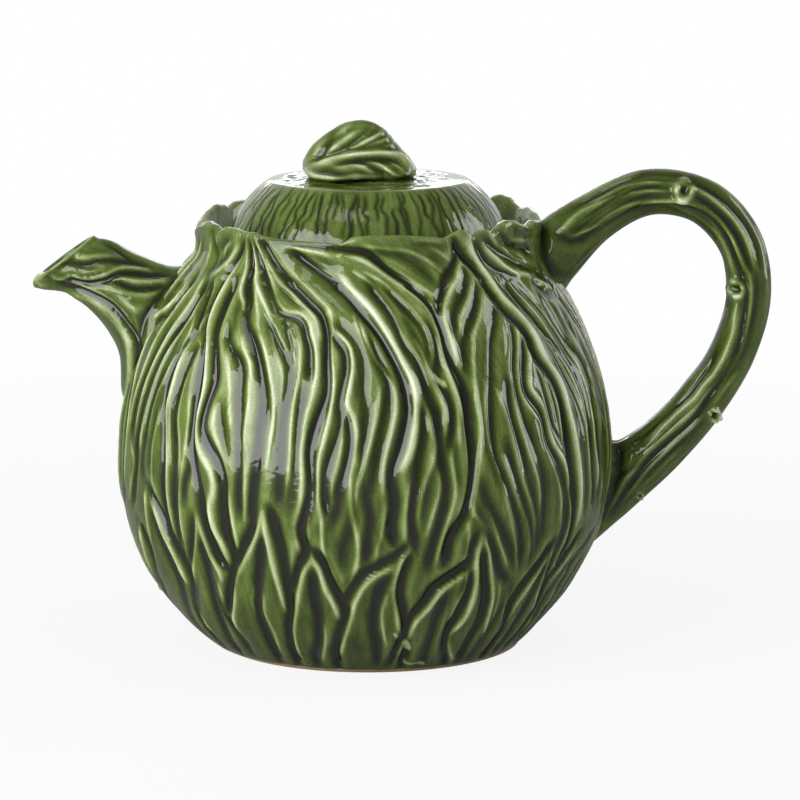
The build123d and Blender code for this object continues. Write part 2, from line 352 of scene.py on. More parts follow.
# %% Short folds
SHORT_FOLDS = (
    # upper left, under the spout
    (2.4, 2.2, (-65.5, 127), (-67, 122), (-69, 115), (-75, 111.3), (-78.5, 105), (-79, 95),
     (-76.5, 83), (-74.8, 72), (-75.5, 62), (-77, 52)),
    (1.5, 1.7, (-64, 111), (-65.8, 104), (-68, 94), (-69.3, 86), (-69.2, 78), (-68, 72)),
    (1.7, 1.9, (-47.7, 109), (-49.2, 103), (-50.1, 94), (-50, 84), (-48.4, 77), (-47.9, 70),
     (-47.9, 62), (-48.4, 50), (-48.4, 41), (-47.6, 36)),
    (1.5, 1.6, (-56.4, 108), (-57.5, 101), (-59.8, 91), (-60.8, 79), (-61.8, 69), (-60.8, 61)),
    (1.1, 1.3, (-57.5, 93), (-57, 86), (-58, 79), (-58.4, 73), (-58.2, 66)),
    (1.2, 1.6, (-61, 140), (-60.3, 136.6), (-58.2, 134), (-57.9, 131), (-59.4, 128.5)),
    (1.3, 1.6, (-50.5, 141), (-53.5, 139), (-56.2, 137.3), (-58.5, 136.3)),
    (1.2, 1.4, (-50.3, 138.4), (-52, 135.7), (-54.6, 132.8), (-57.5, 130.2), (-59.5, 127.5)),
    (1.2, 1.3, (-73.5, 108), (-72.6, 104), (-72.4, 96), (-73, 88)),
    # the fan of folds from the left leaf tip
    (1.8, 2.1, (-40.3, 140.5), (-38.2, 136.4), (-34.5, 130.5), (-29, 125.4), (-24.7, 120.4),
     (-19.5, 118.9), (-17.2, 117.2), (-16.2, 114), (-14.6, 110.5), (-14.1, 105), (-14, 101)),
    (1.6, 1.8, (-24.2, 119.8), (-22.2, 117), (-20.8, 113.5), (-19.5, 110), (-19.6, 106.5)),
    (1.8, 1.9, (-27, 117.8), (-25, 114), (-22.8, 110.5), (-20.2, 107.5), (-18.7, 104), (-18.6, 98),
     (-19.1, 88), (-19.2, 76), (-19.4, 66), (-19.5, 60)),
    (1.9, 2, (-39.6, 115), (-38.4, 110.5), (-36.4, 107.8), (-33.6, 105.6), (-31.8, 102), (-31, 95),
     (-30.1, 87), (-29.3, 78), (-29.1, 70), (-29.3, 62), (-28.8, 56)),
    (1, 1, (-38.8, 123), (-37.9, 117), (-37.3, 112.5)),
    (1, 1.2, (-37.9, 139), (-36.4, 136), (-34.5, 133.2), (-32.5, 130.8)),
    (1.3, 1.2, (-30.2, 129.6), (-26.5, 126.6), (-22.7, 124.5), (-19.6, 122.4)),
    (0.9, 1.1, (-22.5, 138.2), (-17, 136.2), (-14, 134.8), (-10.4, 132.6)),
    (1, 1, (-18, 112.5), (-17.2, 106), (-17.4, 99)),
    (1.7, 1.5, (-36.3, 92.5), (-35.6, 88), (-34.4, 83.5), (-33.4, 79), (-32.3, 74)),
    (1.7, 1.5, (-15, 98.5), (-15.3, 90), (-15.5, 82), (-15.7, 74), (-16.3, 67), (-17.4, 60)),
    (0.8, 1, (-20.9, 81), (-21, 76), (-21.6, 72.6)),
    (1.4, 1.2, (-12.8, 97), (-13.4, 90), (-13.7, 83)),
    (1.6, 1.9, (-44.2, 74), (-43.5, 70), (-44.6, 66), (-45.6, 58)),
    # the middle of the front
    (2, 2.1, (-10.4, 115.8), (-8, 112.8), (-5.6, 109.4), (-5, 105), (-5.7, 99.5), (-6.4, 95),
     (-6, 87), (-7.4, 80.5), (-8.9, 73.5), (-9.3, 66), (-8.7, 59)),
    (2.6, 1.9, (-9.6, 118.4), (-7, 116.6), (-4.4, 114), (-2.2, 110.5), (-1, 105), (-1.2, 98),
     (-0.4, 91), (-0.8, 84), (-1.8, 78)),
    (1.8, 1.8, (-4.7, 91.5), (-4, 86), (-3.9, 80.5), (-4.6, 75), (-5.9, 69), (-6.3, 63),
     (-7.6, 55)),
    (1.9, 1.9, (0.6, 114.5), (2, 109.5), (3.3, 105.3), (5.2, 100.5), (4.9, 96), (4, 91),
     (2.6, 82.5), (1.2, 71), (0, 64.5), (0.8, 58), (0.2, 50), (-0.4, 43.5)),
    (2.1, 2.1, (0.3, 129.3), (3.5, 125.5), (6, 121.8), (8.3, 116), (9.8, 110.8), (12.4, 106),
     (13.6, 101), (14.4, 96), (15.8, 90.5), (16.2, 84), (16.5, 77), (17.4, 70), (17.4, 64),
     (16.4, 56.5), (14.8, 48), (13.7, 41)),
    (1.7, 1.7, (4.6, 128.9), (7.6, 125.6), (9.8, 122.5), (12, 119.8), (14, 117), (15.3, 113),
     (15.5, 108.5), (15.5, 104.6)),
    (1.8, 1.6, (9.2, 121.3), (11.4, 117), (13, 112.5), (14.3, 108), (15.4, 104)),
    (1.8, 1.9, (16, 119.4), (17.4, 115), (17.8, 109.5), (17.2, 104), (16.7, 100.6), (18.4, 96.8),
     (19.8, 93), (19.8, 88), (18.8, 82), (18, 77)),
    (2, 1.9, (12.5, 94), (12.7, 88), (12.2, 82), (11.2, 75), (10.5, 67), (9.9, 60), (10.1, 53),
     (10.7, 46)),
    (1.2, 1.2, (15.4, 76), (14.2, 71), (13.2, 64.5), (12.4, 58), (12.3, 52)),
    (1.4, 1.3, (20.5, 84.5), (20, 78), (20.3, 72), (20.5, 66)),
    (1.6, 1.6, (-3.2, 66), (-3, 60), (-4, 53), (-5.4, 47), (-5.8, 41)),
    (1.2, 1.1, (2.6, 64), (2.2, 57), (3, 50), (4.2, 45.5)),
    # the small leaf under the rim, right of the middle
    (2, 1.6, (0.8, 139.4), (5, 138.8), (9.7, 138), (13, 136.4), (16.3, 134), (19, 131.4),
     (22.4, 127.8)),
    (1.5, 1.4, (19.2, 139.3), (22.2, 137), (24.7, 135), (27.2, 132.9)),
    (1, 1.2, (15.5, 141.4), (20, 141), (24.7, 140.3), (27.5, 139.2)),
    (2.2, 2.3, (28.2, 142.2), (29.4, 139), (29.8, 135.8), (28.2, 133), (24.3, 129.4), (22.6, 126),
     (20.8, 122.8), (19.9, 119.8)),
    (1.5, 1.3, (21.8, 134.6), (24, 131.8)),
    # right of the middle
    (1.8, 1.8, (33, 134.3), (32.2, 130), (29.2, 125.5), (25.6, 121.4), (23.9, 117.2),
     (23.5, 112.6)),
    (1.8, 1.8, (34.8, 127.5), (32.5, 123.5), (28.8, 117), (25.9, 112.4), (24.6, 106), (24, 101)),
    (2, 1.9, (38.8, 121), (35.8, 116), (33, 110.5), (31.3, 104), (30.1, 95), (29.1, 85), (28.9, 77),
     (30.7, 70), (33.2, 62), (35.3, 53), (37, 45), (37.6, 38)),
    (1.8, 1.8, (41.4, 117), (40.4, 110), (38.2, 103), (37.3, 95), (38.2, 86.5), (40.6, 77),
     (42.4, 69), (43, 60), (43.2, 52), (43, 45)),
    (1.8, 1.7, (36.4, 101), (35, 94), (34.9, 86.5), (36.6, 77), (38.2, 67), (40.4, 57), (42, 48),
     (42.2, 41)),
    (1.6, 1.6, (32.6, 80.5), (33.6, 74), (35.4, 65), (37.6, 56.5), (39.6, 49.5), (40.7, 43),
     (41, 37.5)),
    (2.1, 2.1, (44.4, 111), (42.8, 106.5), (40.6, 99.5), (40.1, 94.6), (42.8, 89), (44.2, 84.5),
     (44.7, 78), (47.6, 70.5), (50.3, 62), (52, 53.5), (51.9, 46), (50.2, 39)),
    (1.4, 1.5, (45.4, 102), (46.2, 93), (46.9, 84), (49, 77.5), (51.6, 72.4)),
    (1.3, 1.4, (47.8, 101.5), (48.9, 93), (49.5, 84), (50, 78.5)),
    (1.6, 1.6, (25.7, 69), (26.6, 63.3), (28.6, 57.8), (31.6, 50.5), (34.3, 43.5), (36.4, 37)),
    (1.2, 1.4, (24.8, 62), (25.3, 57.5), (27.9, 51.4)),
    # right edge, under the handle
    (1.8, 1.8, (49.5, 127.6), (52, 124.3), (56.6, 116), (59, 109), (61.9, 101.5), (63.4, 96)),
    (1.5, 1.6, (50.4, 118), (53.2, 109.5), (55.3, 101), (58.4, 89), (59.8, 80), (60.1, 68),
     (60.6, 52)),
    (1.6, 1.7, (60, 122.4), (60.2, 117), (61.6, 111), (63.4, 106.8), (65.8, 103), (68.6, 100),
     (69.8, 93), (69, 85), (69.6, 76), (70.4, 64), (67.6, 51)),
    (1.4, 1.3, (62.6, 122.7), (64.4, 118), (65.2, 112), (65, 106)),
    (1.8, 1.7, (62, 127.8), (62.5, 124.2), (66, 120.8), (70, 119.9), (75, 120.4)),
    (1.5, 1.5, (64.6, 128.2), (69, 126.8), (75, 125)),
    (1.4, 1.5, (69, 116.5), (70.5, 111), (73, 105), (75, 98), (76, 88), (76, 76)),
    (1.8, 2, (36.2, 141), (38.3, 138.4), (42, 133.2), (46, 130), (51.5, 128.2)),
    (1.8, 1.9, (40, 141), (43.7, 138.6), (50, 135.7), (57, 131.8), (64.5, 128.2)),
    (1.3, 1.1, (47.5, 135), (50.5, 133), (54, 131.4), (58, 130.2)),
    (2, 1.9, (48.2, 141.6), (52.5, 138.9), (57, 137.4), (62, 136.2), (68, 134)),
    (1.5, 1.4, (53, 142.4), (58, 141.2), (68, 140.2)),
    (1.2, 1.3, (40.4, 135.6), (42.5, 131.5), (44.4, 127), (46.6, 121.6), (51, 114)),
    # the sides, where the two halves of the mould meet
    (1.8, 1.9, (72, 128), (74.5, 118), (78, 109), (80.5, 98), (81.4, 84), (81, 70), (79, 57),
     (76, 44)),
    (1.4, 1.4, (75.4, 122), (77.4, 114), (79, 106)),
    (1.9, 2, (79.6, 126), (82.4, 115), (85.4, 103), (86.4, 89), (86, 74), (84.2, 60), (81, 49)),
    (1.8, 1.8, (86, 131), (88.2, 119), (90.4, 106), (91, 90), (90.4, 74), (89, 60), (87, 50)),
    (1.4, 1.4, (73.6, 92), (74.6, 80), (73.6, 68), (72, 56)),
    (1.4, 1.4, (-70, 137), (-73, 131), (-75, 124), (-76, 118.5)),
    (1.8, 1.8, (-76, 138), (-80, 129), (-83, 119), (-85, 108), (-86, 96)),
    (1.6, 1.7, (-86, 136), (-88.4, 124), (-90.4, 112), (-91, 100)),
    (1.6, 1.7, (-80.4, 92), (-81, 80), (-80, 68), (-81, 55)),
    (1.8, 1.8, (-85, 70), (-86, 58), (-88, 46)),
)
print("short folds:", len(SHORT_FOLDS))

# %% Folds round the pointed leaves at the foot
FOOT_FOLDS = (
    (2, 2, (-59.2, 61), (-57, 57), (-53, 50.5), (-50.2, 43), (-48, 37), (-47.6, 31), (-50.4, 23.5),
     (-54, 17), (-57, 9), (-59, 2.5)),
    (1.4, 1.5, (-57.6, 53), (-55.8, 43), (-54, 34), (-54, 27), (-56.8, 20.5), (-62, 12.5),
     (-66, 4)),
    (1.8, 1.8, (-66.5, 47.5), (-64.6, 41), (-64.6, 34), (-67.5, 26.5), (-73, 19), (-77, 10)),
    (1.6, 1.7, (-62, 42), (-63.4, 35), (-66.5, 29), (-71.5, 22), (-74, 12), (-75, 4)),
    (1.5, 1.8, (-42.2, 54.5), (-43, 49), (-44.6, 42), (-46.6, 36.5)),
    (1.7, 1.7, (-40.9, 47), (-40.6, 38), (-41.4, 30), (-42.8, 22), (-45, 14), (-47.5, 8),
     (-49, 2.5)),
    (1.6, 1.6, (-39.6, 34), (-41, 28), (-40.8, 20), (-40.2, 13), (-41.4, 4)),
    (2.2, 2, (-25.4, 57), (-26.8, 51), (-29.8, 44), (-32.6, 37.5)),
    (2.2, 1.9, (-24.2, 49), (-25.2, 41), (-27, 32), (-28.8, 23), (-29.3, 15), (-30.4, 7),
     (-31, 2.5)),
    (2.4, 2.2, (-21.6, 60), (-20.4, 53), (-19.3, 45), (-18.8, 35), (-19.4, 26), (-21.4, 17.5),
     (-23.6, 7), (-24.2, 2)),
    (2, 2, (-12.6, 46.6), (-14.4, 43.6), (-16.4, 38.5), (-18, 32)),
    (2, 1.8, (-12.5, 40), (-12.7, 32), (-12.5, 23), (-13.6, 14), (-16.4, 6.5), (-17, 2.5)),
    (2.4, 2.2, (-12.4, 47), (-10.4, 44), (-8.8, 38), (-6.6, 31), (-5.4, 25), (-7, 18), (-9.4, 10),
     (-10, 5), (-10, 1.8)),
    (2.4, 1.6, (9.6, 49.4), (6.8, 45.6), (2.4, 41.6), (-1.4, 38.4), (-4.4, 33), (-6.2, 27.5)),
    (2.1, 1.8, (5.2, 38), (3.4, 34.4), (1.9, 27), (1.4, 20), (2.4, 13), (3, 5)),
    (1.9, 2, (9.8, 46), (8.2, 39.5), (7.5, 31), (8.8, 25), (9.9, 18), (8.8, 11.5), (7, 4)),
    (2.4, 2.3, (24.2, 43), (22.4, 40.2), (19.4, 37), (16, 33.6), (13.4, 27.4), (10.8, 22.4),
     (10.2, 16), (11.4, 9), (11, 2.5)),
    (1.9, 1.5, (19.2, 31), (17.9, 24), (17.6, 16), (17.5, 8), (18, 3)),
    (1.9, 1.9, (24.8, 38), (24.7, 31), (23.3, 24), (22.2, 17.4), (23, 10.5), (25.6, 4.6),
     (26.4, 2)),
    (1.6, 1.7, (25.2, 51.4), (24, 46), (23.7, 40)),
    (2, 1.8, (27.2, 45.5), (28.2, 38), (29.8, 29), (30.6, 20), (30.5, 10), (31.4, 3)),
    (1.6, 1.8, (27.6, 51.4), (29.6, 45), (31.4, 39), (33.4, 35.4), (35.6, 33)),
    (1.2, 1.2, (36.4, 33), (37.2, 28), (35.6, 18), (34.8, 8), (35.4, 3)),
    (2.4, 2.2, (48.4, 44), (46, 38.6), (42.4, 32.6), (40, 27.6), (39.4, 22), (41.6, 14), (42.6, 6),
     (42.6, 2)),
    (1.5, 1.6, (48, 38.4), (47.2, 31), (46.3, 23), (46.4, 14), (47.6, 6), (48, 2.5)),
    (1.8, 1.9, (49.9, 42), (49.7, 35), (50.4, 28), (52.6, 20), (54, 12), (53.6, 4)),
    (2.2, 2.1, (61, 44), (58, 38.5), (54.8, 34), (51.4, 28.6), (51.8, 24), (55, 16)),
    (1.6, 1.6, (60.4, 35), (58, 30.4), (55.4, 26), (54.6, 21), (57, 14), (60, 5)),
    (1.8, 1.8, (72, 42), (68, 37.5), (63, 33.6), (62, 28), (62, 20), (65, 10), (66, 3)),
    (1.5, 1.5, (71, 34), (68.6, 26), (69, 16), (71, 5)),
    (2, 1.9, (83.6, 47), (80, 39), (77, 30), (76, 20), (77.6, 9), (77.4, 3)),
    (1.5, 1.4, (83.2, 37), (82, 26), (83, 14), (84, 5)),
    (2, 1.9, (84.6, 47), (87.8, 39), (90, 29), (90.4, 16), (90, 5)),
    (2, 1.9, (-82.4, 47), (-79, 38), (-78, 28), (-80.6, 16), (-83, 6)),
    (1.5, 1.4, (-83.6, 37), (-84.4, 26), (-87, 14), (-88, 5)),
    (1.8, 1.8, (-83.4, 47), (-87.4, 38), (-90, 27)),
)
print("folds at the foot:", len(FOOT_FOLDS))

# %% Ribs: leaf edges and veins
RIBS = (
    # upper left, under the spout
    (2.6, 0.9, (-66.5, 126), (-68.8, 121), (-70, 117.8), (-73, 115), (-77, 112.6), (-81.5, 109)),
    (1.5, 0.6, (-60, 128), (-59, 123.7), (-59.4, 118), (-61.2, 112.5), (-63.7, 106), (-65.4, 97),
     (-66.6, 86), (-67.2, 76)),
    (1.5, 0.6, (-63, 124.4), (-64.8, 119.5), (-66.6, 113.4), (-68.4, 108), (-69.8, 98), (-71, 88),
     (-71.4, 76)),
    (1.4, 0.6, (-55.4, 122.4), (-55.2, 117), (-56.2, 112), (-58.6, 106.4), (-60, 101), (-61.5, 92),
     (-62.4, 82), (-63.4, 72)),
    (1.2, 0.6, (-54.3, 116.4), (-53.1, 112), (-54.4, 107.4), (-55.2, 104)),
    (2, 0.8, (-49.7, 116.4), (-50.8, 110.8), (-52.6, 104), (-52.9, 94), (-53.5, 87), (-52, 79.5),
     (-50.9, 72), (-50.9, 62), (-50.2, 51), (-49.6, 43.5)),
    (1.4, 0.6, (-56.3, 103), (-57.3, 97), (-59.1, 90), (-59.7, 83), (-60.2, 76)),
    (1.3, 0.5, (-55.8, 87.6), (-56.5, 81), (-57.1, 72), (-56.6, 64), (-55.6, 58)),
    (1.6, 0.6, (-75, 109), (-75.6, 103), (-75.2, 95), (-73.6, 86), (-72.4, 76), (-73, 66),
     (-74.4, 56)),
    (1.4, 0.6, (-69.6, 72), (-67.3, 69.4), (-66.9, 65), (-68.2, 60), (-70.4, 53)),
    (2.2, 0.6, (-45.6, 139.4), (-49.2, 135), (-52.9, 131.2), (-56.6, 127.8)),
    (1.3, 0.6, (-50.6, 138.9), (-53.3, 137), (-54.8, 133.6)),
    (1.8, 0.5, (-63.3, 138), (-63.8, 133), (-62.9, 129)),
    (1.3, 0.5, (-57.6, 140.6), (-59.2, 138.2), (-59.8, 136.8)),
    (2.4, 1, (-42.9, 141.8), (-46.7, 133.6), (-48.4, 128), (-48.3, 121), (-47.4, 114), (-44.6, 107),
     (-42.4, 100), (-41.6, 92.6), (-42.5, 86), (-42.1, 80.5), (-40, 75), (-36.8, 70), (-35.7, 65),
     (-37.2, 57), (-36.6, 51.6), (-34.2, 46), (-33.3, 40)),
    (1.4, 0.6, (-48.6, 100), (-48.8, 92), (-48.6, 85), (-47.4, 79.6), (-46.6, 74), (-46.8, 66)),
    (1.6, 0.6, (-46, 93), (-45.2, 86), (-44.9, 79), (-45, 72), (-46, 64), (-46.6, 54), (-46.4, 45)),
    # the fan from the left leaf tip
    (1.8, 0.7, (-42.4, 140.6), (-42.6, 134), (-41.4, 128.6), (-39.8, 124.6), (-37, 121.6),
     (-35.2, 119)),
    (1.4, 0.6, (-40.8, 140.4), (-38.9, 134.5), (-37.4, 130), (-33.2, 125.3), (-30.2, 122.2),
     (-28, 119.6), (-26, 117), (-23.6, 113.6), (-21, 109.8), (-19.6, 106)),
    (1.2, 0.5, (-35.6, 127.6), (-33.9, 123.7), (-31.4, 119.4), (-30, 114.6)),
    (1.8, 0.8, (-38.6, 140.4), (-36.2, 135.8), (-33.5, 131.6), (-30.4, 128.5), (-26.6, 123.4),
     (-23.8, 121), (-18.2, 120), (-15.8, 117.7), (-14.2, 113.4), (-12.6, 108.4), (-12, 103),
     (-12.6, 96.6), (-13.9, 88), (-14.3, 79), (-14.1, 69), (-14.5, 61.5), (-15.9, 54.5),
     (-15.4, 48.5), (-14.7, 45)),
    (1.3, 0.6, (-35.4, 136.4), (-32.3, 132.4), (-28.6, 129), (-24.3, 127), (-20.6, 124.4),
     (-16.8, 121.6), (-13.8, 118.6), (-12, 113)),
    (3.4, 0.6, (-33.4, 138.8), (-29.3, 134.8), (-25.2, 131.8), (-19.6, 128.6), (-14, 124.4),
     (-10.4, 121), (-8.8, 118)),
    (2, 0.6, (-33, 141), (-26, 140), (-18, 139), (-11, 137.6)),
    (1.3, 0.5, (-24.6, 137.2), (-18.9, 134.6), (-14, 132.2), (-10.6, 131)),
    (1.2, 0.6, (-39.2, 112), (-37.6, 108), (-36, 103), (-34.2, 97), (-33.2, 90), (-32.1, 84.4)),
    (1.3, 0.6, (-34, 112.4), (-32.6, 108.8), (-29.7, 104.4), (-29, 98), (-28.3, 90), (-28.5, 80),
     (-27.9, 70), (-27.7, 61), (-28, 55)),
    (1.3, 0.6, (-29.6, 114), (-26.6, 109), (-24.6, 103.6), (-22.7, 97), (-21.6, 89), (-21.9, 80),
     (-22.6, 72)),
    (1.2, 0.5, (-26.4, 114.6), (-24, 109.8), (-21.8, 105.6), (-20.4, 101), (-20.3, 94)),
    (1.2, 0.5, (-21.4, 116), (-19.4, 112.6), (-18.2, 107), (-18, 100)),
    (1.3, 0.6, (-17.8, 114.6), (-16.8, 109), (-16.5, 103), (-17, 95), (-17.2, 86), (-17.1, 76),
     (-17.6, 68)),
    (1.3, 0.6, (-37, 90.4), (-37.2, 84), (-34.9, 78), (-32.8, 71.6), (-31.9, 63), (-31.2, 56),
     (-30.3, 48), (-30.2, 43)),
    (1, 0.5, (-12.9, 57.4), (-12.9, 53), (-12.8, 49)),
    # the middle of the front
    (1.4, 0.7, (-9.7, 114), (-8.6, 107), (-7.9, 99), (-8.3, 90.5), (-9.4, 83), (-10.5, 76),
     (-10.7, 66), (-9.8, 56), (-9.7, 47), (-8, 39), (-6, 31.6)),
    (1.8, 0.8, (-7.6, 115), (-4.6, 111.4), (-3.6, 106.6), (-4.2, 98), (-4.7, 95), (-3.2, 90),
     (-2.2, 85), (-2.5, 78), (-3.5, 71), (-3.5, 64), (-3, 57), (-1.8, 49.5), (-2.6, 40.5),
     (-4, 35.4), (-5.7, 31.6)),
    (1.2, 0.5, (-5.4, 86), (-5.7, 79), (-6.7, 72), (-8, 66)),
    (1.4, 0.6, (3, 98.6), (2.4, 91), (0.8, 81.6), (-0.6, 74), (-2.2, 67), (-2.4, 60)),
    (2.6, 1, (-8.6, 132.2), (-4.5, 127.6), (0.6, 122.6), (4.2, 116.6), (6.8, 111), (9, 105),
     (11, 100.3), (11.5, 92), (10.8, 84), (9.4, 77.6), (7.4, 73)),
    (1.3, 0.6, (-4, 133), (0.6, 129.6), (4.6, 125), (7.6, 120), (9.2, 115), (11, 110.6), (13, 107),
     (14.2, 103), (15.4, 98)),
    (1.3, 0.6, (-2, 118.6), (0, 113), (2.6, 106.6), (6, 100), (6.8, 94), (5.8, 86), (4.4, 79),
     (3.6, 72), (3.6, 66)),
    (1.2, 0.5, (-3.8, 121), (-2.6, 117), (-1.6, 114.4)),
    (1.6, 0.7, (-7, 137.6), (-1.6, 136.4), (3.6, 133.2), (8.6, 129.6), (13.6, 126), (17.6, 121),
     (18.8, 116), (19.2, 107), (20.8, 98), (22.4, 90), (22.6, 80), (22.5, 70), (21.3, 62),
     (19.6, 54)),
    (1.2, 0.5, (-1, 132.6), (4.6, 129.6), (8.4, 126.4), (13, 121), (16, 115), (16.5, 108),
     (16.3, 105.4)),
    (1.4, 0.6, (12.4, 113), (14, 108.8), (15.2, 102), (17.4, 95.4), (18.2, 90), (17.8, 84)),
    (1.6, 0.6, (13.8, 92), (14.4, 86), (15.4, 81), (14.4, 75), (12.4, 68), (11.2, 61), (11, 54)),
    (1.3, 0.6, (15.8, 72.6), (16, 67), (14.9, 61), (13.8, 56), (13, 51.6)),
    (1.2, 0.5, (18.9, 79.4), (19.1, 73), (19.6, 67), (18.9, 61), (17.6, 55), (16.6, 49),
     (15.4, 42)),
    (1.2, 0.6, (9.4, 70), (8.8, 64), (8.4, 57), (8.6, 50)),
    (1.2, 0.4, (4.2, 62), (3.6, 55), (2.2, 47), (1.8, 43)),
    (1.8, 0.5, (20.4, 97), (21.2, 91), (21, 84), (20.9, 80)),
    (1.3, 0.5, (22.6, 55.6), (23, 50), (22.4, 43), (20, 39.6)),
    # the small leaf under the rim
    (1.8, 0.6, (2, 137), (7, 134), (12, 131), (17, 127.4), (20, 125)),
    (1.6, 0.5, (-2, 140.8), (6, 139.8), (13, 138.8), (19, 136), (24.6, 131.6)),
    (1.2, 0.5, (15, 142.4), (20, 142), (25, 141)),
    (1.1, 0.4, (21.6, 139.4), (25, 137), (28, 134.8)),
    (2, 0.7, (30.8, 134.6), (29.5, 130), (25.6, 126.8), (22.4, 123), (21.5, 118.6), (22.2, 112),
     (23.2, 104)),
    # right of the middle
    (1.4, 0.6, (34.8, 129.4), (30.5, 123.7), (26, 117.4), (25, 113)),
    (1.4, 0.6, (36, 125.2), (33, 119.6), (28.6, 112.8), (27, 106), (26.2, 96), (26.3, 84),
     (25.5, 75), (24.4, 66), (23.7, 58.6), (25.6, 55), (27, 52.5)),
    (1.2, 0.6, (38, 118), (33.4, 114), (31.6, 108.6), (29.8, 101), (28.1, 92), (27.9, 83),
     (29.2, 73.4), (31.2, 66), (33, 58.3), (34.8, 52), (36, 46)),
    (1.5, 0.5, (31.6, 97), (33.2, 90), (34.3, 82), (35.2, 74), (37, 65), (39.6, 57), (41, 50)),
    (1.3, 0.6, (40.4, 117.8), (39.4, 110), (37, 103.4), (36.4, 94), (37.2, 84), (39, 74),
     (41.2, 65.6), (42.2, 57)),
    (1.6, 0.6, (43.6, 115), (42.2, 109), (39.6, 101.6), (38.9, 94), (41, 88.6), (43.2, 85),
     (43.6, 79), (45.2, 73), (47.6, 65.4), (48.9, 58), (48.7, 51)),
    (2, 0.9, (45.3, 106), (43, 101), (41.9, 95.6), (44.9, 89.2), (45.6, 82), (47, 76.4),
     (50.3, 70.4), (52, 65), (51.8, 61)),
    (1.2, 0.5, (47.2, 98), (47.9, 91), (48, 82)),
    (1.2, 0.5, (49.5, 96.4), (50.5, 90), (50.4, 82), (51.4, 75)),
    (3.4, 1, (33.4, 143), (36.2, 136.6), (40.3, 130.2), (42, 123.6), (46.2, 117.2), (48.9, 110.6),
     (50.2, 102.4), (53.7, 95.2), (54.4, 86), (56, 72), (57, 60), (56.6, 48), (55.4, 42)),
    (1.1, 0.4, (52.2, 59), (53.5, 54), (54, 47), (52.2, 39)),
    (1.3, 0.5, (31.2, 76), (33, 69), (35.4, 60), (38, 53), (39.6, 46), (40.2, 40)),
    (1.3, 0.6, (30.8, 66), (32.2, 60), (34, 52.4), (36, 44), (37.2, 37)),
    (1.1, 0.5, (27.2, 59), (28.6, 55), (30, 50), (32, 44), (34, 39)),
    # right edge, under the handle
    (2.4, 0.7, (40.3, 139.4), (46.2, 134.5), (52, 130), (59.5, 127.9), (64, 127.4)),
    (1.6, 0.7, (42.6, 142.6), (47.4, 138), (52.4, 135.2), (58, 131.9), (64, 129)),
    (1.2, 0.5, (44, 130.4), (46.2, 127), (48.7, 122.4), (52, 117), (54.6, 111), (57, 104), (59, 98),
     (61.4, 90), (62.4, 82)),
    (1.2, 0.5, (50.6, 127), (53.7, 122.8), (57.4, 116.6), (60, 110), (62.4, 104), (65.4, 98),
     (66.8, 90), (67, 80), (66.4, 72), (67.4, 64), (67.8, 57)),
    (1.2, 0.5, (51.8, 114), (54.4, 106), (57, 97), (60, 88), (62, 80), (62.4, 70), (63.4, 61),
     (63, 55)),
    (1.6, 0.5, (53, 139.6), (58, 138.7), (63.5, 138.2)),
    (1.8, 0.6, (63.6, 126.2), (67.4, 124), (72, 121.6)),
    (1.4, 0.5, (58.7, 74), (59.3, 64), (59, 54), (57.4, 46)),
    (1.4, 0.5, (72, 112), (73, 104), (72.6, 94), (73.4, 82), (73.8, 70), (72.4, 60), (70, 52)),
    # the sides
    (1.4, 0.6, (76, 124), (79.2, 113), (82.6, 102), (84, 88), (83.6, 74), (81.6, 61), (79, 51)),
    (1.4, 0.6, (82.6, 126), (85.4, 114), (88, 102), (88.8, 88), (88.2, 74), (86.6, 60), (84, 50)),
    (1.2, 0.5, (76.6, 112), (78, 101), (78.6, 87), (78, 73), (76, 60)),
    (1.4, 0.6, (-73, 137), (-76.6, 129), (-79.4, 120), (-81.4, 110), (-82.4, 98)),
    (1.4, 0.6, (-82, 137), (-85, 126), (-87.4, 114), (-88.6, 100)),
    (1.2, 0.5, (-83, 90), (-83.6, 76), (-83, 62), (-84.6, 50)),
)
print("ribs:", len(RIBS))

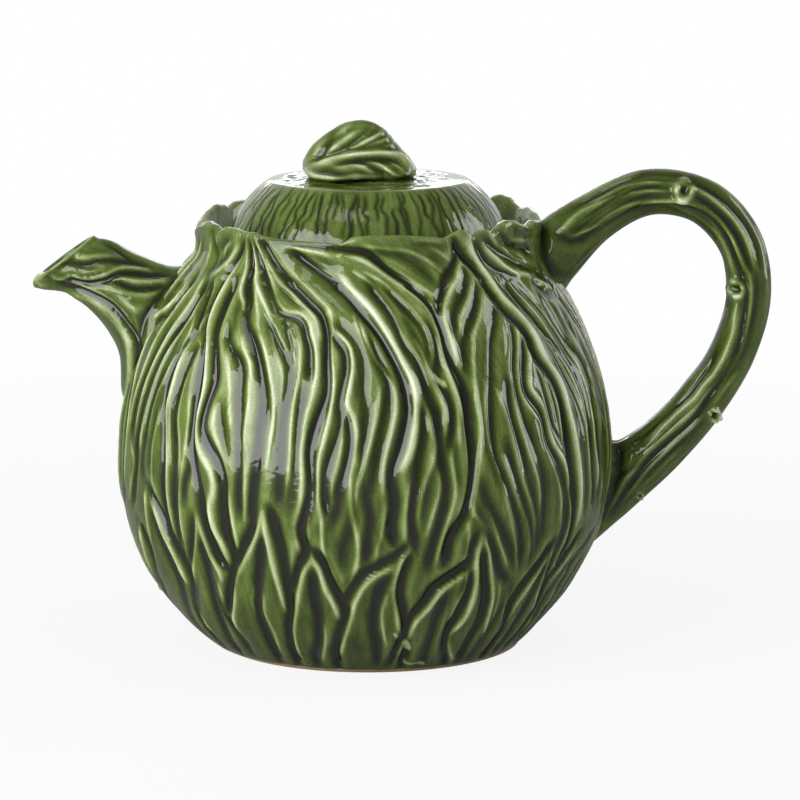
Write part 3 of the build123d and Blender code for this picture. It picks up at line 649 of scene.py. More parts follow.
# %% Ribs along the edges of the pointed leaves
LEAF_EDGES = (
    (1.8, 0.9, (-65.4, 48), (-67.2, 42), (-68.4, 35), (-70.4, 28)),
    (1.6, 0.8, (-59.6, 60.4), (-60.2, 52), (-60.6, 44), (-62, 35.3), (-65.4, 28.5), (-71.2, 22.8),
     (-78, 19.8)),
    (2.2, 1, (-59.2, 60), (-56.8, 54.6), (-54.2, 46), (-51.8, 40), (-50.6, 34), (-50.2, 29.6)),
    (1.5, 0.8, (-41.2, 54.4), (-42.2, 47), (-44.2, 39.5), (-46.3, 32.6), (-49.6, 25), (-52.6, 18),
     (-52.6, 10)),
    (1.8, 0.9, (-41, 54.4), (-39.9, 48.5), (-38.6, 41.4), (-36.6, 35.2), (-37, 33)),
    (1.2, 0.5, (-38.4, 32.4), (-38.7, 26), (-39.2, 23.4)),
    (1, 0.5, (-41.6, 29), (-41.4, 24), (-40.2, 18)),
    (1.8, 1, (-23.4, 58.4), (-25.4, 50), (-29, 41.6), (-32.8, 33.8), (-35, 26.4), (-38, 19),
     (-39.4, 12)),
    (2, 1, (-23.2, 58.4), (-22.5, 49), (-21.5, 38.6), (-20.7, 29), (-20.6, 23)),
    (1.2, 0.5, (-28, 32.4), (-29.6, 26), (-30.2, 21)),
    (1.3, 0.5, (-25.6, 30), (-26.9, 23), (-26.2, 16), (-27.4, 8)),
    (1.9, 1, (-12.6, 44.6), (-14.8, 39), (-16.4, 31.4), (-18, 24.4), (-20.2, 16.4), (-21.6, 6)),
    (2, 1, (-12.6, 44.6), (-10.8, 40.6), (-9.6, 33.4), (-7.7, 27), (-7.1, 22.6)),
    (1.2, 0.6, (-11, 20), (-11.8, 13.6), (-14.4, 5)),
    (2, 1, (5.4, 41.6), (0.6, 37.2), (-2.4, 30.6), (-4.2, 22.6), (-6.4, 14.6), (-8.6, 7)),
    (2, 1.1, (9.3, 47.6), (7.4, 40.6), (6.5, 32.6), (7.4, 25), (8.7, 16.6)),
    (1.3, 0.5, (4.6, 31.4), (3.6, 25), (4.2, 18), (5.4, 12)),
    (2, 1, (23, 37.8), (18.4, 33.2), (15.4, 26.8), (12.2, 20.6), (11, 14), (9, 8)),
    (1.5, 0.8, (23.6, 38), (24, 33.4), (22.2, 26), (21.5, 20.4)),
    (2.2, 1, (26.3, 50.6), (25.3, 45), (26, 36.6), (26.3, 28.6), (25.6, 21), (23, 14.6),
     (25.2, 8.4), (29, 3.6)),
    (1.5, 0.9, (26.5, 50.6), (28.3, 44.8), (30, 36), (32, 28), (33, 20), (34.6, 13)),
    (1.1, 0.5, (33, 33.4), (33.9, 26), (35, 18)),
    (1.1, 0.5, (36.4, 29.4), (37.2, 23), (40, 15.4), (41.4, 10)),
    (1.6, 0.8, (48.3, 42.6), (46, 35.6), (43.6, 30), (41.2, 22.4), (41.6, 16.4), (43.6, 8)),
    (1.3, 0.7, (48.6, 42.6), (48.8, 36), (48.5, 29), (50.4, 22), (53, 16)),
    (1.7, 0.8, (61.6, 43.4), (58.5, 36.4), (55, 31.6), (52.8, 29.2)),
    (1.2, 0.6, (58.8, 33), (56, 27.6), (54.2, 22), (55.6, 15), (56, 10)),
    (1.6, 0.6, (70, 40), (65, 36), (61.4, 31), (61, 25), (58, 18)),
    (1.6, 0.9, (84, 45.6), (81.4, 38), (78.6, 30), (77.6, 20), (79, 9)),
    (1.5, 0.8, (84.2, 45.6), (86.4, 38), (88.4, 29), (88.8, 18), (88, 7)),
    (1.5, 0.8, (-82.8, 45.6), (-80.6, 38), (-79.8, 28), (-82, 16)),
    (1.5, 0.8, (-83, 45.6), (-86, 38), (-88.4, 29)),
)
print("leaf edges:", len(LEAF_EDGES))

# %% Guides: the mesh columns follow the long folds
# Near the rim the long folds run together or leave sideways, so each guide has its own last part.
# It leaves its fold at (degrees, height), and reaches the top at the last number of degrees.
GUIDE_TOPS = (
    (-58, 131, -59), (-56, 133, -57), (-46.4, 136, -44.4), (-43.4, 136, -42.2), (-41, 135, -40.4),
    (-35.4, 139, -36.4), (-24, 137.4, -26.5), (3.2, 135.6, -8), (30.4, 139, 29.4),
    (42.5, 133.5, 38.6),
)
GUIDE_FOOT, GUIDE_TOP = 50.0, 146.0
HALF_EDGE = 90.0


def guide_lines(heights):
    """Azimuth of each guide at the heights: the left edge, the long folds, the right edge."""
    lines = [np.full(np.shape(heights), -HALF_EDGE)]
    for (_, _, *points), (leaves, leave_height, arrives) in zip(LONG_FOLDS, GUIDE_TOPS):
        path = [point for point in points if point[1] < leave_height - 1]
        path += [(leaves, leave_height), (arrives, GUIDE_TOP)]
        path = sorted(path, key=lambda point: point[1])
        turn_at, height_at = np.array(path, float).T
        lines.append(np.interp(heights, height_at, turn_at))
    lines.append(np.full(np.shape(heights), HALF_EDGE))
    return np.array(lines)


GUIDES_AT_FOOT = guide_lines(np.array([GUIDE_FOOT]))[:, 0]
tallest = guide_lines(np.linspace(GUIDE_FOOT, GUIDE_TOP, 100))
print("closest guides:", round(float(np.diff(tallest, axis=0).min()), 2), "degrees")


# %% Smooth lines
def curve(before, after, leaving, arriving, t):
    """A Hermite curve: from before to after, setting out and arriving in the given directions."""
    return (
        before * (2 * t**3 - 3 * t**2 + 1)
        + after * (3 * t**2 - 2 * t**3)
        + leaving * (t**3 - 2 * t**2 + t)
        + arriving * (t**3 - t**2)
    )


def glide(points, share):
    """Places at shares (0 to 1) of the way along a smooth line through a few points."""
    points = np.asarray(points, float)
    legs = np.hypot(*np.diff(points[:, :2], axis=0).T)
    at = np.concatenate(([0.0], np.cumsum(legs)))
    slope = np.gradient(points, at, axis=0)
    along = np.asarray(share) * at[-1]
    leg = np.clip(np.searchsorted(at, along, side="right") - 1, 0, len(legs) - 1)
    size = legs[leg][:, None]
    t = ((along - at[leg]) / legs[leg])[:, None]
    return curve(points[leg], points[leg + 1], slope[leg] * size, slope[leg + 1] * size, t)


def smooth_line(points, step):
    """A smooth line through a few points, sampled about every step."""
    length = np.hypot(*np.diff(np.asarray(points, float), axis=0).T).sum()
    return glide(points, np.linspace(0, 1, int(length / step) + 2))


print("the first fold takes", len(smooth_line(LONG_FOLDS[0][2:], 2.5)), "points")

# %% Distance from a stroke
# A stroke's legs are looked at in bundles, so that each meets only the points close to it.
BUNDLE = 5


def stroke_distance(line, across, along, reach):
    """Which points lie within reach (mm) of a line, how far from it, and how far from its end."""
    best = np.full(len(across), np.inf)
    where = np.zeros(len(across))
    leg = np.diff(line, axis=0)
    size = np.maximum((leg**2).sum(axis=1), 1e-9)
    travelled = np.concatenate(([0.0], np.cumsum(np.sqrt(size))))
    for first in range(0, len(leg), BUNDLE):
        part = line[first : first + BUNDLE + 1]
        low, high = part.min(axis=0) - reach, part.max(axis=0) + reach
        near = np.flatnonzero(
            (across > low[0]) & (across < high[0]) & (along > low[1]) & (along < high[1])
        )
        for number in range(first, min(first + BUNDLE, len(leg))):
            dx, dy = across[near] - line[number, 0], along[near] - line[number, 1]
            t = np.clip((dx * leg[number, 0] + dy * leg[number, 1]) / size[number], 0, 1)
            gap = np.hypot(dx - t * leg[number, 0], dy - t * leg[number, 1])
            kept = gap < best[near]
            closer = near[kept]
            best[closer] = gap[kept]
            where[closer] = (travelled[number] + t * math.sqrt(size[number]))[kept]
    found = np.flatnonzero(best < reach)
    return found, best[found], np.minimum(where, travelled[-1] - where)[found]


print("strokes are searched", BUNDLE, "legs at a time")


# %% Marks of the tool
def smooth_step(value, low, high):
    """0 below low, 1 above high, and an even curve between them."""
    t = np.clip((value - low) / (high - low), 0, 1)
    return t * t * (3 - 2 * t)


def hill(gap, reach):
    """1 along the middle of a stroke, falling away to both sides."""
    return np.exp(-((gap / reach) ** 2))


def hollow_out(gap, reach):
    """As a hill, but round at the bottom and level again at reach."""
    return 0.5 + 0.5 * np.cos(math.pi * np.clip(gap / reach, 0, 1))


def fading(end, extra, taper):
    """Strength of a stroke near its ends, where the tool is let in and lifted over a taper (mm)."""
    return np.sqrt(np.clip((end + extra) / taper, 0, 1))


print("a mark at its middle and at its reach:", hill(0, 1), round(hill(1, 1), 2))

# %% Relief and glaze under folds and ribs
# The cut and the hollow take these shares of a fold's depth, and reach this far to each side.
CUT_SHARE, HOLLOW_SHARE = 0.27, 0.52
CUT_REACH, RIB_REACH = 0.52, 0.5  # of the stroke's width
HOLLOW_REACH, POOL_REACH = 4.2, 3.2  # millimetres
TAPER = 5.0
# The hand's pressure wavers along a fold.
PRESSURE, WAVER, WAVER_LENGTH = 0.9, 0.15, 7
# A fold this shallow has a quarter of the cut, and one this deep has all of it.
SOFT_DEPTH, SHARP_DEPTH, SOFT_CUT = 1.2, 2.2, 0.25
RIB_RISE = 0.8
# How much a fold's line and pool darken the glaze, and a crest pales it, from its middle depth.
GLAZE_MIDDLE, LINE_DARK, POOL_DARK, CREST_PALE = 0.47, 0.2, 0.22, 0.24
DARKEST_DEPTH = 1.9


def leaf_relief(across, along, folds, ribs):
    """Relief (mm, outward) and thinness of the glaze (0 to 1) at points under folds and ribs."""
    cut, hollow, crest, line_dark, pool, pale = (np.zeros(len(across)) for _ in range(6))
    for width, depth, line in folds:
        near, gap, end = stroke_distance(line, across, along, HOLLOW_REACH + 1)
        fade = fading(end, 1, TAPER) * (PRESSURE + WAVER * np.sin(end / WAVER_LENGTH + 3 * width))
        sharp = SOFT_CUT + (1 - SOFT_CUT) * float(smooth_step(depth, SOFT_DEPTH, SHARP_DEPTH))
        narrow = fade * sharp * hill(gap, CUT_REACH * width)
        trough = fade * hollow_out(gap, HOLLOW_REACH)
        wet = fade * hollow_out(gap, POOL_REACH)
        cut[near] = np.maximum(cut[near], CUT_SHARE * depth * narrow)
        hollow[near] = np.maximum(hollow[near], HOLLOW_SHARE * depth * trough)
        strength = min(depth / DARKEST_DEPTH, 1)
        line_dark[near] = np.maximum(line_dark[near], strength * narrow**1.6)
        pool[near] = np.maximum(pool[near], strength * wet)
    for width, rise, line in ribs:
        near, gap, end = stroke_distance(line, across, along, width + 3)
        bump = fading(end, 0.6, TAPER) * hill(gap, RIB_REACH * width)
        crest[near] = np.maximum(crest[near], RIB_RISE * rise * bump)
        pale[near] = np.maximum(pale[near], min(0.3 + 0.7 * rise, 1) * bump)
    relief = crest * (1 - 0.8 * line_dark) - cut - hollow
    glaze = GLAZE_MIDDLE - LINE_DARK * line_dark - POOL_DARK * pool
    return relief, glaze + CREST_PALE * pale * (1 - line_dark)


print("deepest fold:", max(fold[1] for fold in LONG_FOLDS + SHORT_FOLDS + FOOT_FOLDS), "mm")

# %% The drawing on the unrolled wall
STROKE_STEP = 2.5
WALL_MIDDLE_RADIUS = 75.0
# The short folds are pressed in with a softer, wider tool than the long ones.
SOFT_WIDTH, SOFT_PRESS = 1.15, 0.8


def wall_run(height):
    """Distance along the wall from the foot to a height."""
    extra = np.maximum(np.asarray(height, float) - RIM_HEIGHT, 0)
    return np.interp(height, WALL_HEIGHTS, WALL_RUN) + extra


def flat_stroke(points):
    """A drawn stroke on the unrolled wall, in millimetres at the wall's middle radius."""
    points = np.array(points, float)
    return np.column_stack((np.radians(points[:, 0]) * WALL_MIDDLE_RADIUS, wall_run(points[:, 1])))


def drawn(strokes, flatten):
    """The drawn strokes as smooth lines in millimetres."""
    return [
        (width, size, smooth_line(flatten(points), STROKE_STEP)) for width, size, *points in strokes
    ]


soft_folds = tuple(
    (width * SOFT_WIDTH, depth * SOFT_PRESS, *points) for width, depth, *points in SHORT_FOLDS
)
WALL_FOLDS = drawn(LONG_FOLDS + soft_folds + FOOT_FOLDS, flat_stroke)
WALL_RIBS = drawn(RIBS + LEAF_EDGES, flat_stroke)
print("drawn on the wall:", len(WALL_FOLDS), "folds and", len(WALL_RIBS), "ribs")

# %% Where the glaze thins
# A crest sheds glaze and a dip between crests gathers it. Two rounds of averaging over a few
# neighbours, wider sideways than upwards, give the level to compare with.
THINNING = 0.5
THICKEST, THINNEST = -0.2, 0.3


def stands_out(relief, row, column):
    """How far (mm) each point stands above the average of its neighbours."""
    order = np.lexsort((column, row))
    grid = relief[order].reshape(len(np.unique(row)), -1)
    average = grid.copy()
    for reach in (2, 3):
        for axis in (0, 1):
            width = reach + axis * 2
            edges = [(0, 0), (0, 0)]
            edges[axis] = (width + 1, width)
            total = np.cumsum(np.pad(average, edges, mode="edge"), axis=axis)
            ahead = np.take(total, range(2 * width + 1, total.shape[axis]), axis=axis)
            behind = np.take(total, range(0, total.shape[axis] - 2 * width - 1), axis=axis)
            average = (ahead - behind) / (2 * width + 1)
    result = np.empty(len(relief))
    result[order] = (grid - average).ravel()
    return result


def shed(glaze, relief, row, column, thickest=THICKEST):
    """The glaze after it has run off what stands out."""
    return glaze + np.clip(THINNING * stands_out(relief, row, column), thickest, THINNEST)


print("a crest 0.4 mm high thins the glaze by", 0.4 * THINNING)

# %% [markdown]
# ## From an outline to a piece
# Thrown, turned and cast ware is round before it is carved. So each piece starts as an outline
# that one spin turns into a closed shape. Its points are then read into arrays, because a whole
# wall of them can be moved by one line of arithmetic, and written back at the end.


# %% Spin an outline
def turn(corners, cuts, steps, half=0):
    """Spins an outline about the axis into a closed shape.

    The outline joins a few corners (radius, height), and each of its sides is cut into equal steps.
    The "place" of a vertex is the number of its corner, with a fraction between two corners. A half
    turn, to the back (1) or to the front (-1), is closed by one flat face across the middle.
    """
    bm = bmesh.new()
    place = bm.verts.layers.float.new("place")
    points = [bm.verts.new((radius, 0.0, height)) for radius, height in corners]
    for number, point in enumerate(points):
        point[place] = number
    sides = [bm.edges.new(pair) for pair in zip(points, points[1:])]
    for side, count in zip(sides, cuts):
        if count:
            bmesh.ops.subdivide_edges(bm, edges=[side], cuts=count)
    bmesh.ops.spin(
        bm, geom=bm.verts[:] + bm.edges[:], axis=(0, 0, 1), cent=(0, 0, 0), steps=steps,
        angle=half * math.pi or 2 * math.pi, use_merge=not half,
    )
    bmesh.ops.remove_doubles(bm, verts=bm.verts, dist=1e-4)
    if half:
        rim = [edge for edge in bm.edges if edge.is_boundary]
        bmesh.ops.edgeloop_fill(bm, edges=rim)
        for edge in rim:
            edge.smooth = False
    bmesh.ops.recalc_face_normals(bm, faces=bm.faces)
    return bm


print("outlines are spun round the upright axis")


# %% Points of a spun shape
def as_arrays(bm, name):
    """The bmesh as a mesh, with its points, their turn in degrees and their place."""
    mesh = bpy.data.meshes.new(name)
    bm.to_mesh(mesh)
    bm.free()
    count = len(mesh.vertices)
    points = np.empty(count * 3)
    mesh.vertices.foreach_get("co", points)
    points = points.reshape(-1, 3)
    place = np.empty(count)
    mesh.attributes["place"].data.foreach_get("value", place)
    turned = np.degrees(np.arctan2(points[:, 0], -points[:, 1]))
    return mesh, points, turned, place


def unrolled(around, shift, down):
    """Place (mm) on the unrolled surface, which runs of glaze follow. Each piece has its shift."""
    return np.column_stack((around, np.full(len(around), shift), down))


print("a piece's points are in millimetres until it is finished")


# %% Finish a piece
def finished_piece(mesh, points, name, body, node, glaze, flow, bare=0.0):
    """Puts the points (mm) and the glaze's three attributes on the mesh and makes it a piece."""
    mesh.vertices.foreach_set("co", (points * MILLIMETRE).ravel())
    for label, kind, field, values in (
        ("glaze", "FLOAT", "value", glaze),
        ("bare", "FLOAT", "value", np.full(len(points), bare)),
        ("flow", "FLOAT_VECTOR", "vector", flow * MILLIMETRE),
    ):
        mesh.attributes.new(label, kind, "POINT").data.foreach_set(field, np.ravel(values))
    mesh.shade_smooth()
    mesh.update()
    check = bmesh.new()
    check.from_mesh(mesh)
    if check.calc_volume(signed=True) < 0:
        bmesh.ops.reverse_faces(check, faces=check.faces)
        check.to_mesh(mesh)
    open_edges = sum(not edge.is_manifold for edge in check.edges)
    check.free()
    mesh.materials.append(body_glaze)
    piece = bpy.data.objects.new(name, mesh)
    bpy.context.scene.collection.objects.link(piece)
    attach(piece, body)
    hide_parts(node)
    mesh.calc_loop_triangles()
    print(name, len(mesh.loop_triangles), "triangles,", open_edges, "open edges")


print("every piece gets the", body_glaze.name)

# %% [markdown]
# ## The pot
# One outline gives the whole hollow pot. Like the real one, which comes out of a mould in two
# parts, it is made as two halves that meet under the spout and the handle, so that each has enough
# points for its fine relief. Each point of the outside is then moved along the wall's own normal by
# the relief. A bump in the material would be quicker, but the folds have to show in the outline.

# %% Outline of the pot
WALL_ROWS = (56, 40, 66)
WALL_ROW_HEIGHTS = (0.9, 54.0, 101.0, RIM_HEIGHT - 1.6)
SHELF_UNDER = LEDGE_HEIGHT - WALL
FLOOR_HEIGHT = FOOT_RECESS + WALL
INNER_FOOT = FOOT_RADIUS - FOOT_RING
CORNER = 3.0  # the width of the soft corner between the inside's wall and its floor

POT_CORNERS = (
    (0.0, FOOT_RECESS),
    (INNER_FOOT - 0.6, FOOT_RECESS),
    (INNER_FOOT + 0.6, 0.2),
    (INNER_FOOT + 1.6, 0.0),
    (FOOT_RADIUS - 1.4, 0.0),
    (FOOT_RADIUS, WALL_ROW_HEIGHTS[0]),
    (COLLAR_RADIUS, WALL_ROW_HEIGHTS[-1]),
    (COLLAR_RADIUS - 1.2, RIM_HEIGHT - 0.2),
    (COLLAR_INNER + 0.9, RIM_HEIGHT - 0.3),
    (COLLAR_INNER, RIM_HEIGHT - 1.6),
    (COLLAR_INNER, LEDGE_HEIGHT + 0.8),
    (COLLAR_INNER - 0.8, LEDGE_HEIGHT),
    (MOUTH_RADIUS + 0.6, LEDGE_HEIGHT),
    (MOUTH_RADIUS, LEDGE_HEIGHT - 0.6),
    (MOUTH_RADIUS, SHELF_UNDER),
    (float(wall_radius(SHELF_UNDER, WALL)) - 2, SHELF_UNDER),
    (float(wall_radius(SHELF_UNDER - CORNER, WALL)), SHELF_UNDER - CORNER),
    (float(wall_radius(FLOOR_HEIGHT + CORNER, WALL)), FLOOR_HEIGHT + CORNER),
    (float(wall_radius(FLOOR_HEIGHT, WALL)) - CORNER, FLOOR_HEIGHT),
    (0.0, FLOOR_HEIGHT),
)
# The corners between which the outside wall, the collar and the inside wall lie.
WALL_START, WALL_END = 5, 6
COLLAR_FOOT = 10
INNER_START, INNER_END = 16, 17
INNER_CUTS = 7
POT_CUTS = [0] * (len(POT_CORNERS) - 1)
POT_CUTS[WALL_START] = sum(WALL_ROWS) - 1
POT_CUTS[INNER_START] = INNER_CUTS
print("pot outline:", len(POT_CORNERS) + sum(POT_CUTS), "points")

# %% Crown height round the rim
CROWN = (
    (-90, 138.5), (-80, 141), (-73, 143), (-67.5, 144.3), (-62, 143.7), (-58, 142.2), (-54, 143.9),
    (-49.5, 143.9), (-45, 143.2), (-40, 143.3), (-37, 142.3), (-32, 142), (-20, 141.7),
        (-12, 141.4),
    (-9, 141), (-5, 143.6), (0, 144.1), (10, 144.1), (15, 143.8), (20, 143.3), (26, 142.5),
        (29, 143.8),
    (32, 145), (35, 144.3), (37, 142.2), (39.5, 143.8), (42, 144.3), (44.5, 143.2), (47, 144.2),
    (50, 145.6), (53, 146.3), (57, 145.7), (60, 144.4), (66, 142.6), (72, 144), (80, 143),
        (90, 140),
)


def crown_lift(height, azimuth, place):
    """How far (mm) the leafy edge lifts a point of the collar, from nothing at its foot."""
    stand = np.where(
        place <= WALL_END,
        (height - NECK_HEIGHT) / (RIM_HEIGHT - NECK_HEIGHT),
        (height - LEDGE_HEIGHT) / (RIM_HEIGHT - LEDGE_HEIGHT),
    )
    stand = np.clip(stand, 0, 1) * (place <= COLLAR_FOOT)
    return stand * (np.interp(azimuth, *np.array(CROWN, float).T) - RIM_HEIGHT)


print("the leafy rim is up to", max(height for _, height in CROWN), "mm high")


# %% Rows and columns of the wall
def follow_folds(column, height):
    """Azimuth of a column at a height: it keeps its share of the way between two long folds."""
    table_heights = np.linspace(GUIDE_FOOT, RIM_HEIGHT, 120)
    at_height = np.clip(height, GUIDE_FOOT, RIM_HEIGHT)
    lines = guide_lines(table_heights)
    here = np.array([np.interp(at_height, table_heights, line) for line in lines])
    number = np.searchsorted(GUIDES_AT_FOOT, column, side="right") - 1
    number = np.clip(number, 0, len(GUIDES_AT_FOOT) - 2)
    left, right = GUIDES_AT_FOOT[number], GUIDES_AT_FOOT[number + 1]
    share = (column - left) / (right - left)
    point = np.arange(len(column))
    return here[number, point] * (1 - share) + here[number + 1, point] * share


def on_the_wall(points, turned, place, back):
    """The points' columns, rows and run along the wall, and their height, radius and azimuth."""
    column = np.clip(180 - turned % 360 if back else turned, -HALF_EDGE, HALF_EDGE)
    on_wall = (place >= WALL_START) & (place <= WALL_END)
    row = np.clip(place - WALL_START, 0, 1) * sum(WALL_ROWS)
    run = np.interp(row, np.cumsum((0,) + WALL_ROWS), wall_run(np.array(WALL_ROW_HEIGHTS)))
    wall_height = np.interp(run, WALL_RUN, WALL_HEIGHTS)
    height = np.where(on_wall, wall_height, points[:, 2])
    radius = np.where(on_wall, wall_radius(wall_height), np.hypot(points[:, 0], points[:, 1]))
    inside = (place > INNER_START) & (place < INNER_END)
    radius = np.where(inside, wall_radius(height, WALL), radius)
    azimuth = follow_folds(column, np.where(place > WALL_END, RIM_HEIGHT, height))
    return column, on_wall, row, run, wall_height, height, radius, azimuth


print("rows up the wall:", sum(WALL_ROWS))

# %% The hand's work on the wall
# The whole relief lies this deep (mm) in the wall, so that its crests keep to the plain outline.
SINK = 0.3
# The folds are shallower on the left of the front: degrees and height, and how far that reaches.
CALM_PLACE, CALM_REACH, CALM_SHARE = (-23, 82), (15, 26), 0.62
# The relief starts low at the wiped foot, and is whole 5 mm up.
FOOT_SHARE, FOOT_WIPED, FOOT_WHOLE = 0.35, 0.5, 5
# The casting sank a little on the handle's side: (height, how far) in mm, between two azimuths.
SUNK = ((0, 1.5), (8, 3.2), (25, 3.6), (50, 2.4), (75, 2.6), (100, 2.6), (125, 1.6), (135, 0))
SUNK_FROM, SUNK_WHOLE = 30, 75


def hand_worked(relief, azimuth, height, on_wall):
    """The drawn relief as the modeller's hand left it."""
    (turned_to, at_height), (wide, tall) = CALM_PLACE, CALM_REACH
    calm = np.exp(-(((azimuth - turned_to) / wide) ** 2) - ((height - at_height) / tall) ** 2)
    from_foot = FOOT_SHARE + (1 - FOOT_SHARE) * smooth_step(height, FOOT_WIPED, FOOT_WHOLE)
    return relief * from_foot * (1 - CALM_SHARE * calm) - SINK * on_wall


def sunk_in(azimuth, height, place):
    """How far (mm) the wall stands back on the handle's side."""
    depth = np.interp(height, *np.array(SUNK, float).T)
    outside = (place > WALL_START - 1) & (place <= WALL_END)
    return depth * smooth_step(azimuth, SUNK_FROM, SUNK_WHOLE) * outside


print("the handle's side stands back up to", max(depth for _, depth in SUNK), "mm")

# %% Glaze and painted shade on the wall
# The glaze ran down: it lies thinner towards the rim, and thickest of all just above the foot.
# Painted shade also darkens the colour downwards, as the lamps light the upper wall more.
DARK_BELOW, PALE_ABOVE, RUN_AND_SHADE, RUN_AND_SHADE_START = 20, 125, 0.16, 0.13
DREGS_TOP, DREGS = 16, 0.05
# Where the glaze crawled back, the pale clay shines through: a width and a stroke, as above.
THIN_SPOTS = (
    (2.2, (-9.6, 140.4), (-8.6, 140.9)),
    (2.6, (15.8, 102.4), (17, 100.6), (18.6, 99.2)),
    (2, (7.2, 17), (8, 15.2)),
    (3.6, (10.8, 12.2), (12, 9.6)),
    (1.8, (12, 4), (19, 3.2)),
)
SPOT_GLAZE, SPOT_CORE, SPOT_EDGE = 0.85, 0.2, 0.6
WALL_THICKEST = -0.15


def run_down_and_shade(glaze, height):
    """The wall's glaze after it ran towards the foot, and painted shade that darkens it downwards.
    """
    glaze = glaze + (RUN_AND_SHADE * smooth_step(height, DARK_BELOW, PALE_ABOVE) - RUN_AND_SHADE_START)
    return glaze - DREGS * (1 - smooth_step(height, 2, DREGS_TOP))


def crawl_back(glaze, on_wall, across, run):
    """Thins the glaze to a pale spot under each of the short strokes."""
    for width, *spots in THIN_SPOTS:
        near, gap, _ = stroke_distance(flat_stroke(spots), across, run, 4)
        outside = near[on_wall[near]]
        edge = smooth_step(gap[on_wall[near]], SPOT_CORE * width, SPOT_EDGE * width)
        glaze[outside] = np.maximum(glaze[outside], SPOT_GLAZE * (1 - edge))


print("pale spots:", len(THIN_SPOTS))

# %% Shape one half of the pot
INSIDE_GLAZE = 0.6
SLOPE_STEP = 0.2
# The back has the front's drawing turned round, and swayed so that it is no mirror image.
BACK_SWAY, BACK_WAVE = 4, 23
FLOW_SHIFT = 40.0


def half_pot(name, half, columns):
    """The front (-1) or back (1) half of the pot with its relief."""
    mesh, points, turned, place = as_arrays(turn(POT_CORNERS, POT_CUTS, columns, half), name)
    back = half > 0
    column, on_wall, row, run, wall_height, height, radius, azimuth = on_the_wall(
        points, turned, place, back
    )
    height = height + crown_lift(height, azimuth, place)

    relief, glaze = np.zeros(len(height)), np.full(len(height), INSIDE_GLAZE)
    across = np.radians(azimuth) * WALL_MIDDLE_RADIUS
    drawn_relief, drawn_glaze = leaf_relief(
        across[on_wall], wall_run(height[on_wall]), WALL_FOLDS, WALL_RIBS
    )
    relief[on_wall] = drawn_relief
    thinned = shed(
        drawn_glaze, drawn_relief, np.round(row[on_wall]), column[on_wall], WALL_THICKEST
    )
    # The glaze runs towards the foot, and painted shade darkens the wall downwards.
    glaze[on_wall] = run_down_and_shade(thinned, height[on_wall])
    relief = hand_worked(relief, azimuth, height, on_wall)
    radius = radius - sunk_in(azimuth, height, place)
    wider, narrower = wall_radius(wall_height + SLOPE_STEP), wall_radius(wall_height - SLOPE_STEP)
    slope = (wider - narrower) / (2 * SLOPE_STEP)
    radius = radius + relief / np.hypot(slope, 1)
    height = height - relief * slope / np.hypot(slope, 1) * (wall_height < NECK_HEIGHT)

    if back:
        sway = BACK_SWAY * np.sin(height / BACK_WAVE) * np.cos(np.radians(azimuth))
        azimuth = 180 - azimuth - sway
    else:
        crawl_back(glaze, on_wall, across, run)
    angle = np.radians(azimuth)
    points = np.column_stack((radius * np.sin(angle), -radius * np.cos(angle), height))
    flow = unrolled(np.radians(column) * WALL_MIDDLE_RADIUS, FLOW_SHIFT * half, wall_run(height))
    wiped = 1.0 * (place <= WALL_START)
    finished_piece(mesh, points, name, "pot", "pot_body", glaze, flow, wiped)

# %% Make both halves
for name, half, columns in (("pot_front", -1, 516), ("pot_back", 1, 420)):
    half_pot(name, half, columns)

# %% [markdown]
# ## Pieces drawn from the side
# The spout, the handle and the knob are long shapes that were modelled by hand and look much the
# same from both sides. A bevelled curve could make such a tube, but its section would keep one
# shape. So each starts as a straight spun tube whose rings are laid along a few slices, and its
# relief is drawn as seen from the side, in (x, z) millimetres. The drawing leans back a little over
# the piece, as a sheet laid on a rounded thing does.


# %% Tubes laid along slices
def laid_tube(slices, share, turned, grow):
    """Points of a tube laid along slices (x, z, tilt in degrees, half depth, half length)."""
    x, z, tilt, half_depth, half_length = glide(slices, share).T
    lean, around = np.radians(tilt), np.radians(turned)
    out = half_length * grow * np.sin(around)
    return np.column_stack(
        (x + out * np.cos(lean), -half_depth * grow * np.cos(around), z + out * np.sin(lean))
    )


def outward_normals(mesh, points):
    """Normals of the mesh with its points moved."""
    mesh.vertices.foreach_set("co", points.ravel())
    mesh.update()
    normals = np.empty(points.size)
    mesh.vertex_normals.foreach_get("vector", normals)
    check = bmesh.new()
    check.from_mesh(mesh)
    inside_out = check.calc_volume(signed=True) < 0
    check.free()
    return normals.reshape(-1, 3) * (-1 if inside_out else 1)


print("a tube's rings can now be laid along slices")

# %% Drawing on a tube
DRAWING_LEAN = 0.177
DRAWING_FRONT = 9.0


def leaned(points):
    """Height at which a point meets the drawing that leans over the piece."""
    return points[:, 2] + (DRAWING_FRONT - np.abs(points[:, 1])) * DRAWING_LEAN


def side_drawing(points, folds, ribs, strength=SOFT_PRESS):
    """Relief and glaze of points under a drawing made from the side, the same front and back."""
    softer = [(width, size * strength, line) for width, size, line in drawn(folds, np.array)]
    return leaf_relief(points[:, 0], leaned(points), softer, drawn(ribs, np.array))


def shed_outside(glaze, relief, outer, place, rows, turned):
    """Thins the glaze on what stands out of a tube's side, which has rows between two corners."""
    row = np.round((place - place[outer].min()) * rows)
    glaze[outer] = shed(glaze[outer], relief[outer], row[outer], turned[outer])


print("the drawing leans", round(math.degrees(math.atan(DRAWING_LEAN)), 1), "degrees")

# %% [markdown]
# ## The spout
# The spout is a leaf rolled into a pouring lip, carried by a stem that runs down on to the belly.
# A plain tube would end in a flat disc, so it is spun with a real wall, outside, rounded lip and
# inside in one outline. The lip is pulled down to a beak, which pours without a drip.

